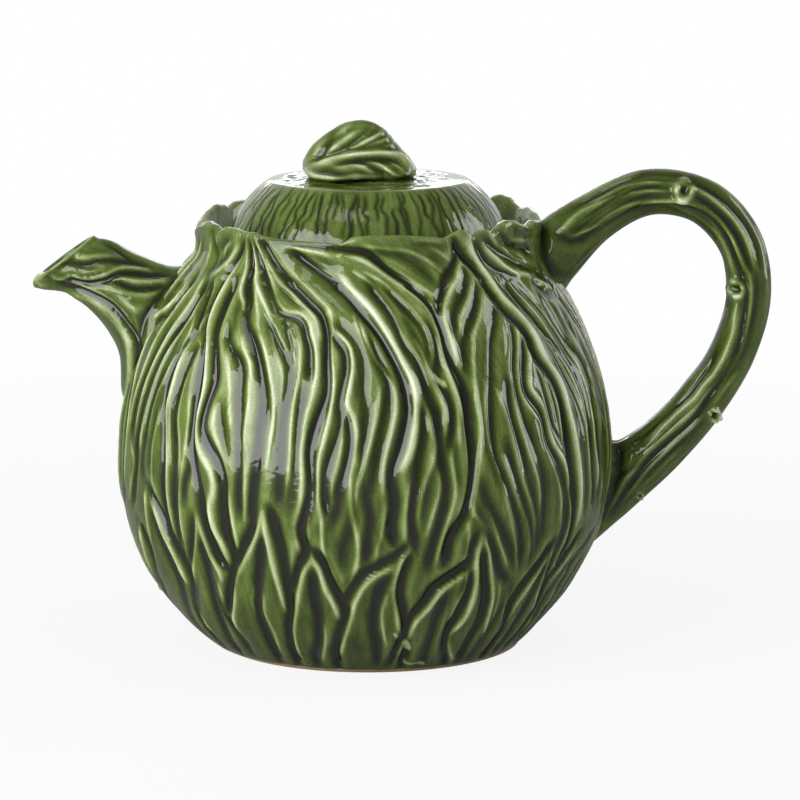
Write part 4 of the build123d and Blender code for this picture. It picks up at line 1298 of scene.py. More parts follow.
# %% Slices of the spout
# x, z, tilt of the slice in degrees, half depth, half length
SPOUT_SLICES = (
    (-59, 99, 65, 17, 28),
    (-71.4, 105.4, 62.2, 16, 24.2),
    (-74.8, 111.3, 60.3, 14.5, 17.6),
    (-79.9, 116.3, 61, 12.8, 14.2),
    (-85.5, 120.9, 59, 11.2, 12.4),
    (-92.8, 125.9, 50, 10, 11.9),
    (-100.8, 128.4, 36.5, 9, 12.9),
)
SPOUT_WALL, MOUTH_WALL = 3.4, 2.0
BEAK_EXTRA, BEAK_DROP = 3.6, 1.7
print("spout slices:", len(SPOUT_SLICES))

# %% Drawing of the spout
SPOUT_FOLDS = (
    (1.8, 2.1, (-103.6, 126.6), (-101, 128), (-98, 128.6), (-95, 128.2), (-92, 128.5),
     (-88.6, 129.7), (-85, 130), (-80, 129.3), (-76, 128.8), (-71, 127)),
    (1.3, 1.4, (-101.4, 128.4), (-98.6, 130), (-96.4, 132)),
    (1.8, 2, (-88.4, 136.9), (-86, 135.4), (-82.4, 133), (-80, 131), (-77, 129.5), (-72.6, 127.8)),
    (2, 2.3, (-103, 122), (-100.4, 122.1), (-98, 122.7), (-95.6, 121.9), (-92.4, 121.6),
     (-89, 122.2), (-86.4, 122.8), (-84, 124.4), (-81, 125.7), (-77, 125.8), (-71, 125.2),
     (-65, 125)),
    (1.8, 2, (-88, 122.2), (-85, 122.6), (-82, 121.9), (-79, 120.6), (-76, 120), (-71, 120.2),
     (-64, 121.4)),
    (2.1, 2.5, (-104.6, 122.4), (-102, 121), (-98.5, 120), (-95, 119.2), (-91.5, 117.7),
     (-88, 116.2), (-85, 114.4), (-82.4, 111.9), (-80, 108.9), (-77.6, 105.6), (-76.2, 102.4),
     (-76.2, 98), (-76.8, 92), (-78.4, 83)),
    (1.3, 1.5, (-96, 117.2), (-92, 114.6), (-88, 111.4), (-85.4, 108.4), (-83.4, 105),
     (-82.2, 101.4), (-81.7, 96), (-81.8, 88)),
    (1.9, 2.2, (-62, 125.6), (-66, 120.6), (-69.4, 116.6), (-72, 113.2), (-74, 109.6), (-75.2, 105),
     (-75.8, 100)),
    (1, 1.4, (-105.4, 126.4), (-105, 124), (-105.1, 121.8), (-103.8, 120.4), (-101.6, 120.2)),
    (1, 1, (-103.8, 126.2), (-102.6, 125.4), (-101, 124.6)),
    (1.2, 1, (-74, 123.4), (-70, 123.8), (-66, 123.4)),
    (1.4, 1, (-92.6, 131.6), (-89, 132.6), (-85.4, 132.4), (-82.6, 131.4)),
)
SPOUT_RIBS = (
    (2.2, 0.8, (-96.4, 132.4), (-96, 131), (-95.4, 129.8), (-93, 130.3), (-89, 130.8), (-85, 131),
     (-81.6, 130.4)),
    (2, 0.7, (-88, 137), (-84.6, 135.9), (-81.6, 134), (-79, 132.2), (-75, 130.6), (-69, 128.2)),
    (1.8, 1, (-105, 124.6), (-103.8, 122.9), (-102, 122.5), (-99.8, 123.3), (-98, 124),
     (-95.6, 123.2), (-93, 122.7), (-89.6, 123.2), (-86.8, 124.2), (-84.4, 125.6), (-81.6, 126.8),
     (-77, 127), (-71, 126.2)),
    (1.4, 0.8, (-98, 121.4), (-95, 120.5), (-91, 118.9), (-88, 117.5), (-84.6, 115.3),
     (-81.6, 112.2), (-79, 108.8), (-76.8, 105.2)),
    (3.2, 0.9, (-100, 119), (-95, 117.4), (-91, 115.2), (-87.6, 112.2), (-84.5, 109), (-82, 106),
     (-80, 102.6), (-79, 98), (-79, 91), (-79.8, 83)),
    (2.4, 0.5, (-85, 120.6), (-82, 119), (-78, 118.2), (-73.6, 118), (-69, 118.8)),
    (2, 0.6, (-82, 123.8), (-79.4, 122.7), (-76.4, 122.2), (-71, 122.4), (-66, 123)),
    (3, 0.5, (-83, 116.4), (-79, 114), (-76, 112.6), (-72.6, 114.4)),
    (1.6, 0.5, (-110.6, 122.6), (-109, 121.4), (-106.6, 120.8)),
)
print("on the spout:", len(SPOUT_FOLDS), "folds and", len(SPOUT_RIBS), "ribs")

# %% Lay the spout
# The outline's corners: inside end, outside from the belly to the mouth, round the lip, and back.
SPOUT_CORNERS = ((0.8, 0), (1, 0), (1, 1), (0.9, 1.02), (0.8, 1), (0.8, 0))
SPOUT_ROWS, SPOUT_COLUMNS = 150, 288
# The mouth narrows towards its beak and its upper point by up to this share.
PINCH, PINCH_START = 0.3, 0.7
LIP_WAY = np.array((-0.6, 0, 0.8))

mesh, points, turned, place = as_arrays(
    turn(SPOUT_CORNERS, (0, SPOUT_ROWS - 1, 3, 3, 20), SPOUT_COLUMNS), "spout_leaf"
)
share = np.interp(place, (0, 1, 2, 4, 5), (0, 0, 1, 1, 0))
outer = (place >= 1) & (place <= 2)
beak = np.clip(-np.sin(np.radians(turned)), 0, 1) ** 6 * smooth_step(share, 0.8, 1)
wall = SPOUT_WALL + (MOUTH_WALL - SPOUT_WALL) * share + BEAK_EXTRA * beak
middle_half = glide(SPOUT_SLICES, share)[:, 3:].mean(axis=1)
round_lip = math.pi * np.clip((place - 2) / 2, 0, 1)
inward = np.where(place < 2, np.interp(place, (0, 1, 2), (1, 0, 0)), (1 - np.cos(round_lip)) / 2)
points = laid_tube(SPOUT_SLICES, share, turned, 1 - wall * inward / middle_half)
edge_on = np.abs(np.sin(np.radians(turned))) ** 3
points[:, 1] *= 1 - PINCH * smooth_step(share, PINCH_START, 1) * edge_on
points += (wall / 2 * np.sin(round_lip))[:, None] * LIP_WAY
points[:, 2] -= BEAK_DROP * beak
print("the spout's mouth is at x =", round(points[:, 0].min(), 1), "mm")

# %% Relief and glaze of the spout
INSIDE_SPOUT_GLAZE, SPOUT_DARKER = 0.42, 0.04
SPOUT_SINK, LIP_FADE, LIP_START = 0.2, 0.7, 0.97
# The glaze drew back from the lip's edge, which is pale.
LIP_PALE, LIP_PLACE, LIP_HALF = 0.3, 2.6, 0.5
relief, glaze = side_drawing(points, SPOUT_FOLDS, SPOUT_RIBS)
shed_outside(glaze, relief, outer, place, SPOUT_ROWS, turned)
glaze = np.where(outer, glaze - SPOUT_DARKER, INSIDE_SPOUT_GLAZE)
glaze = glaze + LIP_PALE * hill(place - LIP_PLACE, LIP_HALF)
relief = (relief - SPOUT_SINK) * outer * (1 - LIP_FADE * smooth_step(share, LIP_START, 1))
points += outward_normals(mesh, points) * relief[:, None]
finished_piece(
    mesh, points, "spout_leaf", "pot", "spout", glaze,
    unrolled(np.radians(turned) * 12, shift=80.0, down=share * 70),
)

# %% [markdown]
# ## The handle
# The handle is a bent twig with its bark left on: long shallow flutes, knots where side shoots
# were cut off, and a leaf node at the rim. The flutes are drawn from the side. The fine bark runs
# right round the twig, so it is drawn on the unrolled twig, by seeded dice.

# %% Path of the handle
# x, z, direction of the twig in degrees, half thickness, half depth
HANDLE_PATH = (
    (50, 122, 42, 15, 13),
    (63, 133, 40, 10.8, 10.2),
    (75, 142.9, 35, 8.6, 8.8),
    (93, 151, 8, 8, 8.4),
    (111, 147.4, -34, 7.9, 8.4),
    (122.8, 134.5, -63, 7.8, 8.4),
    (126, 118, -92, 7.8, 8.4),
    (121.6, 99, -111, 7.9, 8.4),
    (111.6, 81.6, -125, 8.2, 8.6),
    (98.5, 66.6, -133, 9, 9),
    (81.5, 53.2, -140, 11.2, 10.2),
    (69, 43, -148, 12, 11.4),
)
HANDLE_SLICES = tuple(
    (x, z, heading + 90, depth, thick) for x, z, heading, thick, depth in HANDLE_PATH
)
print("handle slices:", len(HANDLE_SLICES))

# %% Flutes of the handle
HANDLE_FOLDS = (
    (1.6, 1.7, (64, 145), (70, 148.6), (76, 152), (82, 155.4), (88, 157.6), (94, 158.6),
     (99, 158.3), (105, 157), (111, 154), (116, 150.6), (120, 146.6), (124, 142), (127, 137),
     (129, 131.6), (129.6, 127)),
    (1.5, 1.5, (66, 142), (70, 145.4), (75, 148.4), (81, 152), (86, 154.6), (91, 156), (95, 156.6),
     (99, 156.2)),
    (1.8, 1.8, (66, 136.6), (69, 139.4), (73, 143.4), (78, 147.4), (84, 150.6), (89, 153),
     (94, 154), (98.4, 153.6)),
    (1.6, 1.6, (70, 138.2), (75, 141.6), (80, 145), (85, 148.4), (90, 150), (95, 150.4),
     (99.4, 150)),
    (1.9, 1.9, (63.2, 138), (66, 136), (70, 136.4), (74, 138.4), (78, 140.6)),
    (1.6, 1.5, (75, 139.4), (80, 142.2), (86, 145.2), (92, 146.8), (97, 146.6), (103, 145.2),
     (108, 142.6), (112, 139.2), (115, 135.2), (117, 130.4), (118, 125.4), (118.4, 120),
     (117.4, 110), (115.2, 103.6), (112.2, 97.6), (108.8, 92)),
    (1.9, 2.1, (106.6, 151), (110, 149.4), (114, 146.4), (118, 142.6), (121.4, 138), (123.8, 133),
     (125.6, 128.4), (126.8, 125.4)),
    (1.4, 1.4, (107, 154.2), (111, 152.6), (115, 149.6), (119, 146), (122.6, 142), (125.4, 138)),
    (2, 2, (100, 147.8), (105, 147), (110, 145), (114, 142), (117, 138.4), (119.6, 133.6),
     (121.8, 129), (123.4, 124.6), (124.8, 119), (124.6, 112), (123.4, 104), (121, 97), (118, 92),
     (115.6, 88), (112, 82), (109, 77), (105, 73), (101, 69.6), (97, 66), (93, 61.6), (90, 57.4),
     (87, 53), (84, 48), (81.4, 44), (79.4, 41.4)),
    (2, 1.7, (57.4, 143), (57, 138), (57.4, 132), (59.4, 128), (62, 125), (65.6, 124.4)),
    (1.5, 1.6, (127.2, 126.4), (128.6, 121), (128.2, 115), (127, 108), (125, 100), (122, 94),
     (119.6, 90), (117.6, 86.4), (115.6, 82.6)),
    (1.6, 1.2, (119.4, 108), (117.4, 101), (114.6, 95), (111.4, 89.6), (107, 85), (103, 81.4)),
    (1.6, 1.6, (113, 78.6), (110.6, 75), (107.4, 71.4), (104, 68), (100, 64), (96.4, 60.6),
     (93, 57), (90.4, 53.4)),
    (1.4, 1.4, (108.4, 71.4), (104, 66.4), (99.6, 62), (95, 57.6), (92, 54)),
    (2, 2, (82.8, 69), (83.4, 64), (83.2, 59), (82, 54), (80.4, 48.6), (78.6, 44), (76.6, 39.6)),
)
print("flutes:", len(HANDLE_FOLDS))

# %% Raised bark of the handle
HANDLE_RIBS = (
    (2.2, 1, (63.4, 139), (66.4, 142.4), (70, 145.4), (74, 147.6), (79, 150)),
    (1.5, 0.5, (68, 149), (75, 152.8), (82, 156.2), (89, 158.6)),
    (1.4, 0.6, (71, 147), (77, 150.4), (84, 154), (90, 155.6), (96, 155.6)),
    (1.4, 0.6, (70, 141.6), (76, 145.8), (82, 149.6), (88, 152), (94, 152.6), (98, 152)),
    (1.3, 0.6, (68, 137.6), (73, 139.6), (78, 143.4), (84, 147), (90, 148.8)),
    (1.8, 0.7, (90, 148.2), (96, 148.9), (102, 148.6), (107, 147), (112, 144), (116, 140.6),
     (119.4, 136.6), (121.8, 131), (123.6, 126)),
    (1.6, 0.7, (107.6, 153.4), (112, 151), (117, 147), (121, 142.6), (124, 137.6), (126.2, 132),
     (127.4, 128)),
    (1.8, 0.5, (112, 143), (115, 139), (117.6, 134), (119.6, 129), (120.4, 125)),
    (1.8, 0.6, (126.2, 124), (126.2, 118), (125.8, 112), (124.6, 105)),
    (3.4, 0.8, (121.8, 114), (121.2, 108), (119.4, 102), (117, 96), (114, 91), (111, 88),
     (108.6, 84), (105, 80.6), (101, 77), (97, 72.6), (93.2, 67.6)),
    (1.6, 0.6, (121.6, 98), (118.6, 93.6), (115, 88), (112, 84.6), (108, 79), (104, 75),
     (100, 71.4), (96, 68), (93, 65), (89.4, 60.6), (86.4, 56.4)),
    (1.6, 0.6, (122.6, 92), (119.4, 88), (117, 84.6), (115.4, 82)),
    (1.4, 0.6, (110.6, 76.6), (107, 72.6), (103, 69), (98.6, 64.6), (94.6, 61), (91, 57),
     (87.6, 52), (84, 47), (81, 43.6)),
    (1.2, 0.4, (104, 66), (99, 61), (94.6, 56.6), (91.6, 53.6)),
)
print("raised strips of bark:", len(HANDLE_RIBS))

# %% Bark lines
# Fine lines run along the twig on all sides: (millimetres round it, millimetres along it).
BARK_COUNT, BARK_POINTS = 46, 7
GIRTH_RADIUS, HANDLE_LENGTH = 8.2, 200.0
BARK_WANDER = 0.45
dice = np.random.default_rng(5)
bark = []
for number in range(BARK_COUNT):
    middle = dice.uniform(-math.pi, math.pi) * GIRTH_RADIUS
    start, length = dice.uniform(-10, 180), dice.uniform(18, 60)
    width, depth = dice.uniform(0.9, 1.5), dice.uniform(0.4, 1.0)
    sideways = middle + np.cumsum(dice.normal(0, BARK_WANDER, BARK_POINTS))
    forward = start + length * np.linspace(0, 1, BARK_POINTS)
    bark.append((width, depth, np.column_stack((sideways, forward))))
print(len(bark), "bark lines")

# %% Lay the twig
HANDLE_CORNERS = ((0, 0), (0.7, 0), (1, 0), (1, 1), (0.7, 1), (0, 1))
HANDLE_ROWS, HANDLE_COLUMNS = 400, 200
# Towards its lower root the twig widens on the inside into a web.
WEB, WEB_START, WEB_WHOLE = 12.5, 0.85, 0.97
WEB_WAY = np.array((-0.1, 0, 1.0))

mesh, points, turned, place = as_arrays(
    turn(HANDLE_CORNERS, (0, 0, HANDLE_ROWS - 1, 0, 0), HANDLE_COLUMNS), "twig_handle"
)
share = np.clip(place - 2, 0, 1)
outer = (place >= 2) & (place <= 3)
grow = np.interp(place, range(len(HANDLE_CORNERS)), [radius for radius, _ in HANDLE_CORNERS])
points = laid_tube(HANDLE_SLICES, share, turned, grow)
inner_side = np.clip(-np.sin(np.radians(turned)), 0, 1) ** 2
web = WEB * smooth_step(share, WEB_START, WEB_WHOLE) * inner_side
points += web[:, None] * WEB_WAY * outer[:, None]
print("the twig reaches out to x =", round(points[:, 0].max(), 1), "mm")

# %% Cut the bark
HANDLE_STRENGTH = 0.85
BARK_REACH, BARK_TAPER = 2.5, 8
BARK_DEPTH, BARK_DARK = 0.32, 0.12
relief, glaze = side_drawing(points, HANDLE_FOLDS, HANDLE_RIBS, HANDLE_STRENGTH)
round_twig, along_twig = np.radians(turned) * GIRTH_RADIUS, share * HANDLE_LENGTH
for width, depth, line in bark:
    # A line near the unrolled twig's edge goes on at the other edge.
    for turns in (-2, 0, 2):
        moved = smooth_line(line, STROKE_STEP) + (turns * math.pi * GIRTH_RADIUS, 0)
        near, gap, end = stroke_distance(moved, round_twig, along_twig, BARK_REACH)
        mark = depth * fading(end, 0, BARK_TAPER) * hill(gap, 0.6 * width)
        relief[near] -= BARK_DEPTH * mark
        glaze[near] -= BARK_DARK * mark
shed_outside(glaze, relief, outer, place, HANDLE_ROWS, turned)
print("the flutes are up to", round(-relief[outer].min(), 2), "mm deep")

# %% Knots of the handle
# (x, z), radius and height of each knot
KNOTS = (
    ((104, 152.6), 2.9, 1.4),
    ((121.6, 119.8), 2.3, 1.2),
    ((114.8, 77.6), 1.5, 1.6),
    ((90.4, 50.2), 0.9, 0.7),
)
# The bark tore unevenly where the side twig broke off, so the ring is lumpy and open on one side.
TORN_OPEN, TORN_LUMPS, TORN_OVAL = 0.45, 0.3, 0.12
RING_WIDTH, HEART_WIDTH = 0.45, 0.5  # of the knot's radius
RING_PALE, HEART_DARK, HEART_SUNK = 0.42, 0.5, 0.5


def knot(points, middle, radius, height, relief, glaze):
    """Adds the raised ring and the sunk heart of a knot on both sides of a piece."""
    beside, above = points[:, 0] - middle[0], leaned(points) - middle[1]
    gap, round_it = np.hypot(beside, above), np.arctan2(above, beside)
    open_side, lumps = np.sin(round_it + middle[0]), np.sin(4 * round_it + middle[1])
    torn = 1 + TORN_OPEN * open_side + TORN_LUMPS * lumps
    gap = gap * (1 + TORN_OVAL * np.sin(2 * round_it + middle[1]))
    ring = np.clip(torn, 0.1, 1.6) * hill(gap - radius, RING_WIDTH * radius)
    heart = hill(gap, HEART_WIDTH * radius)
    relief += height * ring - HEART_SUNK * height * heart
    glaze += RING_PALE * ring - HEART_DARK * heart


for middle, radius, tall in KNOTS:
    knot(points, middle, radius, tall, relief, glaze)
print("knots:", len(KNOTS))

# %% Finish the handle
HANDLE_DARKER = 0.03
points += outward_normals(mesh, points) * (relief * outer)[:, None]
finished_piece(
    mesh, points, "twig_handle", "pot", "handle", glaze - HANDLE_DARKER,
    unrolled(np.radians(turned) * 8, shift=120.0, down=share * 190),
)

# %% [markdown]
# ## The lid
# The lid is turned: a domed side, a nearly flat top, and a flange that drops into the mouth and
# keeps the lid on as one pours. Its outline is bent on to smooth curves after the spin, because a
# curve between two corners is easier to judge than many typed points. Its side is scored with wavy
# lines, and its top is dimpled. Seeded dice place both, as no two marks made by hand are alike.

# %% Outline of the lid
LID_RADIUS = 46.0
LID_SPRING = LEDGE_HEIGHT + 4.0
LID_TOP = LID_SPRING + 18.4
DISC_RADIUS = 33.0
DISC_EDGE = LID_TOP - 1.2
FLANGE_RADIUS = MOUTH_RADIUS - 0.8
FLANGE_INNER = FLANGE_RADIUS - 4.0
FLANGE_FOOT = LEDGE_HEIGHT - 12.0
CEILING = LID_TOP - 4.0
DISC_ROWS, SIDE_ROWS = 24, 34

LID_CORNERS = (
    (0.0, LID_TOP),
    (DISC_RADIUS, DISC_EDGE),
    (LID_RADIUS, LID_SPRING),
    (LID_RADIUS, LEDGE_HEIGHT + 0.8),
    (LID_RADIUS - 0.8, LEDGE_HEIGHT + 0.05),
    (FLANGE_RADIUS, LEDGE_HEIGHT + 0.05),
    (FLANGE_RADIUS, FLANGE_FOOT + 0.8),
    (FLANGE_RADIUS - 0.8, FLANGE_FOOT),
    (FLANGE_INNER + 0.8, FLANGE_FOOT),
    (FLANGE_INNER, FLANGE_FOOT + 0.8),
    (FLANGE_INNER, LID_SPRING),
    (0.0, CEILING),
)
LID_CUTS = (DISC_ROWS - 1, SIDE_ROWS - 1, 1, 0, 2, 3, 0, 0, 0, 3, 12)
CEILING_START = 10  # the corner from which the underside of the dome runs to the middle
print("lid outline:", len(LID_CORNERS) + sum(LID_CUTS), "points")

# %% Scored lines of the lid
LINE_COUNT, LINE_POINTS = 92, 8
LINE_SWAY, LINE_SHAKE = 0.55, 0.5
dice = np.random.default_rng(11)
scored = []
for number in range(LINE_COUNT):
    start = (number + dice.uniform(-0.3, 0.3)) * 360 / LINE_COUNT - 180
    top = dice.choice((0.04, 0.06, 0.1, 0.35), p=(0.35, 0.25, 0.25, 0.15))
    foot = dice.choice((0.55, 0.85, 1.0), p=(0.2, 0.3, 0.5))
    heights = np.linspace(top, foot, LINE_POINTS)
    sway = np.cumsum(dice.normal(0, 1.0, LINE_POINTS)) * LINE_SWAY
    sway = sway + dice.normal(0, LINE_SHAKE, LINE_POINTS)
    sway -= sway.mean()
    scored.append((start, dice.uniform(0.9, 1.5), dice.uniform(0.6, 1.3), sway, heights))
print("scored lines:", len(scored))

# %% Dimples of the lid's top
DIMPLE_COUNT, DIMPLE_POINTS = 110, 4
DIMPLE_STRAY = 0.5
dimples = []
for number in range(DIMPLE_COUNT):
    out, start = dice.uniform(9, 31), dice.uniform(0, 2 * math.pi)
    span = dice.uniform(3, 8) / out
    swing = np.linspace(start, start + span, DIMPLE_POINTS)
    stray = out + dice.normal(0, DIMPLE_STRAY, DIMPLE_POINTS)
    width, depth = dice.uniform(1.2, 2.4), dice.uniform(0.3, 0.8)
    dimples.append((width, depth, np.column_stack((stray * np.cos(swing), stray * np.sin(swing)))))
print("dimples:", len(dimples))

# %% Turn the lid
LID_COLUMNS = 640


def bend(start, end, start_way, end_way, t):
    """A smooth curve from start to end that sets out and arrives in given directions."""
    start, end = np.array(start), np.array(end)
    reach = np.hypot(*(end - start))
    go, come = (np.array(way) / np.hypot(*way) * reach for way in (start_way, end_way))
    return curve(start, end, go, come, t[:, None])


mesh, points, turned, place = as_arrays(turn(LID_CORNERS, LID_CUTS, LID_COLUMNS), "lid_dome")
radius, height = np.hypot(points[:, 0], points[:, 1]), points[:, 2].copy()
disc, side, ceiling = place <= 1, (place > 1) & (place <= 2), place > CEILING_START
height[disc] = LID_TOP - (LID_TOP - DISC_EDGE) * (radius[disc] / DISC_RADIUS) ** 2
radius[side], height[side] = bend(
    (DISC_RADIUS, DISC_EDGE), (LID_RADIUS, LID_SPRING), (1, -0.62), (0.28, -1), place[side] - 1
).T
radius[ceiling], height[ceiling] = bend(
    (FLANGE_INNER, LID_SPRING), (0, CEILING), (0, 1), (-1, 0), place[ceiling] - CEILING_START
).T
angle = np.radians(turned)
points = np.column_stack((radius * np.sin(angle), -radius * np.cos(angle), height))
print("lid:", round(2 * radius.max(), 1), "mm across,", round(np.ptp(height), 1), "mm high")

# %% Score the lid's side
SIDE_RUN = 24.0
SIDE_MIDDLE_RADIUS = 41
LID_GLAZE = 0.53
SCORE_REACH, SCORE_TAPER = 3.0, 3
SCORE_DEPTH, SCORE_DARK = 0.14, 0.38
relief, glaze = np.zeros(len(place)), np.full(len(place), LID_GLAZE)
down = (place - 1) * SIDE_RUN
for start, width, depth, sway, heights in scored:
    away = ((turned - start + 180) % 360 - 180) * math.radians(1) * SIDE_MIDDLE_RADIUS
    path = np.column_stack((np.radians(sway) * SIDE_MIDDLE_RADIUS, heights * SIDE_RUN))
    near, gap, end = stroke_distance(smooth_line(path, 2.0), away[side], down[side], SCORE_REACH)
    near = np.flatnonzero(side)[near]
    mark = fading(end, 0.5, SCORE_TAPER) * hill(gap, 0.55 * width)
    relief[near] = np.minimum(relief[near], -SCORE_DEPTH * depth * mark)
    glaze[near] = np.minimum(glaze[near], LID_GLAZE - SCORE_DARK * depth * mark)
print("the deepest line is", round(-relief.min(), 2), "mm deep")

# %% Dimple the top and finish the lid
DIMPLE_REACH = 4.0
DIMPLE_GLAZE, DIMPLE_DEPTH, DIMPLE_DARK = 0.52, 0.8, 0.3
for width, depth, spots in dimples:
    path = smooth_line(spots, 1.0)
    near, gap, _ = stroke_distance(path, points[disc, 0], points[disc, 1], DIMPLE_REACH)
    near = np.flatnonzero(disc)[near]
    dent = depth * hill(gap, 0.6 * width)
    relief[near] = np.minimum(relief[near], -DIMPLE_DEPTH * dent)
    glaze[near] = np.minimum(glaze[near], DIMPLE_GLAZE - DIMPLE_DARK * dent)
points += outward_normals(mesh, points) * relief[:, None]
finished_piece(
    mesh, points, "lid_dome", "lid", "lid", glaze,
    unrolled(np.radians(turned) * SIDE_MIDDLE_RADIUS, shift=160.0, down=down),
)

# %% [markdown]
# ## The leaf knob
# The lid is lifted by a folded leaf that lies on its top, with a midrib, veins to both sides and a
# lower edge that is rolled under. It could be a bent sheet, but the real one is a lump of clay
# pinched into a leaf. So it is laid as a closed tube and then pinched and spread, as fingers do.

# %% Slices of the knob
# x, z, tilt of the slice in degrees, half depth, half length
KNOB_SLICES = (
    (-21.8, 160, 90, 1.2, 1.4),
    (-19.6, 160.6, 90, 4.3, 4.6),
    (-16.5, 161.4, 90, 6.5, 7.2),
    (-11, 162.9, 90, 8.8, 9.7),
    (-5, 164.4, 90, 9.5, 10.3),
    (0, 164.5, 90, 9.3, 10.2),
    (5, 163.3, 90, 8.8, 9.1),
    (10, 160.5, 90, 7, 6.2),
    (14, 158.5, 90, 4, 3.4),
    (15.6, 157.8, 90, 1.2, 1.2),
)
print("knob slices:", len(KNOB_SLICES))

# %% Drawing of the knob
KNOB_FOLDS = (
    (1.6, 1.8, (-20.4, 160.8), (-17.5, 162.2), (-14.8, 163.6), (-12, 164.4), (-9, 165), (-6, 165.5),
     (-2, 165.9), (2, 166.1), (6, 166.3), (9.8, 166.3)),
    (2.4, 1.8, (-19.2, 161.4), (-16.5, 163.6), (-14.6, 166), (-13.2, 169), (-11.4, 172)),
    (1.9, 1.7, (-11, 165.5), (-8, 167), (-5, 169), (-2.6, 171.4), (0.4, 174)),
    (1.6, 1.6, (-4, 166.2), (0, 167.2), (3, 168.4), (5.4, 170.6), (6.6, 172.4)),
    (1.9, 1.3, (-1.4, 170), (1.5, 171.6), (3.6, 174)),
    (1.6, 1.6, (0, 166.4), (4, 167), (7, 168.6), (8.4, 170)),
    (2.2, 1.9, (-10, 161), (-7, 162), (-4, 162.6), (0, 163), (4, 163), (8, 162.6), (11.4, 161)),
    (1.8, 1.7, (-2, 162.5), (1, 160.8), (3.6, 159), (6.4, 157)),
    (1.8, 1.7, (6.2, 162.7), (9, 160.4), (11.2, 158.4), (12.8, 156.8)),
    (2.3, 1.8, (-18.8, 159.3), (-15, 158.8), (-12, 158.4), (-9, 157.4), (-6.6, 156.5)),
    (2.4, 0.9, (-3.4, 158.8), (-1.6, 158), (0.2, 157.2)),
)
KNOB_RIBS = (
    (2.6, 1.2, (-18.8, 160.9), (-15, 162.2), (-12, 163.2), (-8, 164.2), (-4, 164.8), (1, 165.1),
     (6, 165), (9.4, 164.4), (12, 162.4), (14, 160), (14.8, 158.4)),
    (2.4, 0.9, (-13.8, 164.8), (-11, 166.8), (-8, 168.9), (-5, 171.2), (-2, 173.2)),
    (2, 0.6, (-19.6, 162.6), (-17.4, 165.6), (-15.4, 168.6), (-13.4, 171)),
    (2, 0.6, (-10.6, 171.2), (-7.8, 173), (-6, 174.6)),
    (1.6, 0.8, (-5.4, 166.3), (-2.6, 167.6), (0.4, 169.4), (3.4, 171.2), (5.2, 172.6)),
    (1.3, 0.6, (-1, 167.1), (2.6, 168.4), (6, 170), (7.4, 171.6)),
    (1.3, 0.5, (5, 166.9), (7.4, 167.8), (8.8, 168.8)),
    (2.4, 0.8, (-10, 159.5), (-7.6, 160.5), (-5, 160.9), (-2, 160), (0.6, 158.6), (2.4, 157)),
    (1.6, 0.8, (-0.6, 162.3), (3, 161.4), (6, 159.4), (9, 157.4), (11, 156.6)),
    (1.3, 0.7, (7.2, 162.6), (10, 160.4), (12.6, 157.8)),
    (2, 0.9, (-21, 159.6), (-19.6, 158), (-17, 157), (-13.6, 156.4), (-10, 156), (-6.6, 156.2),
     (-3, 156.8), (1, 156.8), (6, 156.4), (11, 156)),
)
print("on the knob:", len(KNOB_FOLDS), "folds and", len(KNOB_RIBS), "ribs")

# %% Lay and pinch the knob
KNOB_CORNERS = ((0, 0), (1, 0), (1, 1), (0, 1))
KNOB_ROWS, KNOB_COLUMNS = 130, 200
# The midrib's line: (x, z) from the leaf's tip to its stem.
MIDRIB = ((-20, 160), (-12, 163.6), (-4, 165), (4, 165.2), (12, 164.4))
# How much wider than a tube the lower edge lies on the lid: (x, share).
SPREAD = ((-20, 2.2), (-16, 1.8), (-11, 1.7), (-5, 1.3), (0, 0.9), (5, 0.55), (10, 0.8), (14, 1.1))
BROAD, PINCHED, PINCH_HEIGHT = 1.06, 0.42, 11
ROLLED_UNDER, MIDRIB_STEP, STEP_FADE = 0.82, 0.14, 7

mesh, points, turned, place = as_arrays(
    turn(KNOB_CORNERS, (0, KNOB_ROWS - 1, 0), KNOB_COLUMNS), "leaf_knob"
)
share = np.clip(place - 1, 0, 1)
outer = (place >= 1) & (place <= 2)
grow = np.interp(place, range(len(KNOB_CORNERS)), [radius for radius, _ in KNOB_CORNERS])
points = laid_tube(KNOB_SLICES, share, turned, grow)
# The upper half stands up and is pinched; the lower half lies wide on the lid, its edge rolled in.
over = points[:, 2] - (np.interp(points[:, 0], *np.array(MIDRIB, float).T) - 1)
spread = np.interp(points[:, 0], *np.array(SPREAD, float).T)
low = 1 - smooth_step(points[:, 2], LID_TOP + 0.5, LID_TOP + 8)
points[:, 1] *= BROAD - PINCHED * np.clip(over / PINCH_HEIGHT, 0, 1) ** 1.5 + spread * low**1.2
rolled_out = smooth_step(points[:, 2], LID_TOP - 0.6, LID_TOP + 1.2)
points[:, 1] *= ROLLED_UNDER + (1 - ROLLED_UNDER) * rolled_out
step_down = smooth_step(over, -0.8, 1.2) * np.exp(-np.clip(over, 0, 99) / STEP_FADE)
points[:, 1] *= 1 - MIDRIB_STEP * step_down
print("the leaf is", round(np.ptp(points[:, 0]), 1), "mm long")

# %% Relief and glaze of the knob
KNOB_PALER = 0.07
relief, glaze = side_drawing(points, KNOB_FOLDS, KNOB_RIBS)
shed_outside(glaze, relief, outer, place, KNOB_ROWS, turned)
points += outward_normals(mesh, points) * (relief * outer)[:, None]
finished_piece(
    mesh, points, "leaf_knob", "lid", "lid_knob", glaze + KNOB_PALER,
    unrolled(np.radians(turned) * 9, shift=200.0, down=share * 40),
)

# %% [markdown]
# ## Floor and surroundings
# The pot stands on plain white paper, which glows a little for the camera. So it reads as white and
# still holds the pot's shadow, where more light would wash out the pot. Glaze mirrors its
# surroundings, so they matter as much as the lamps: in reflections they are white behind the pot
# and dim in front of it, as in a studio. On all else they are one even, faint light.

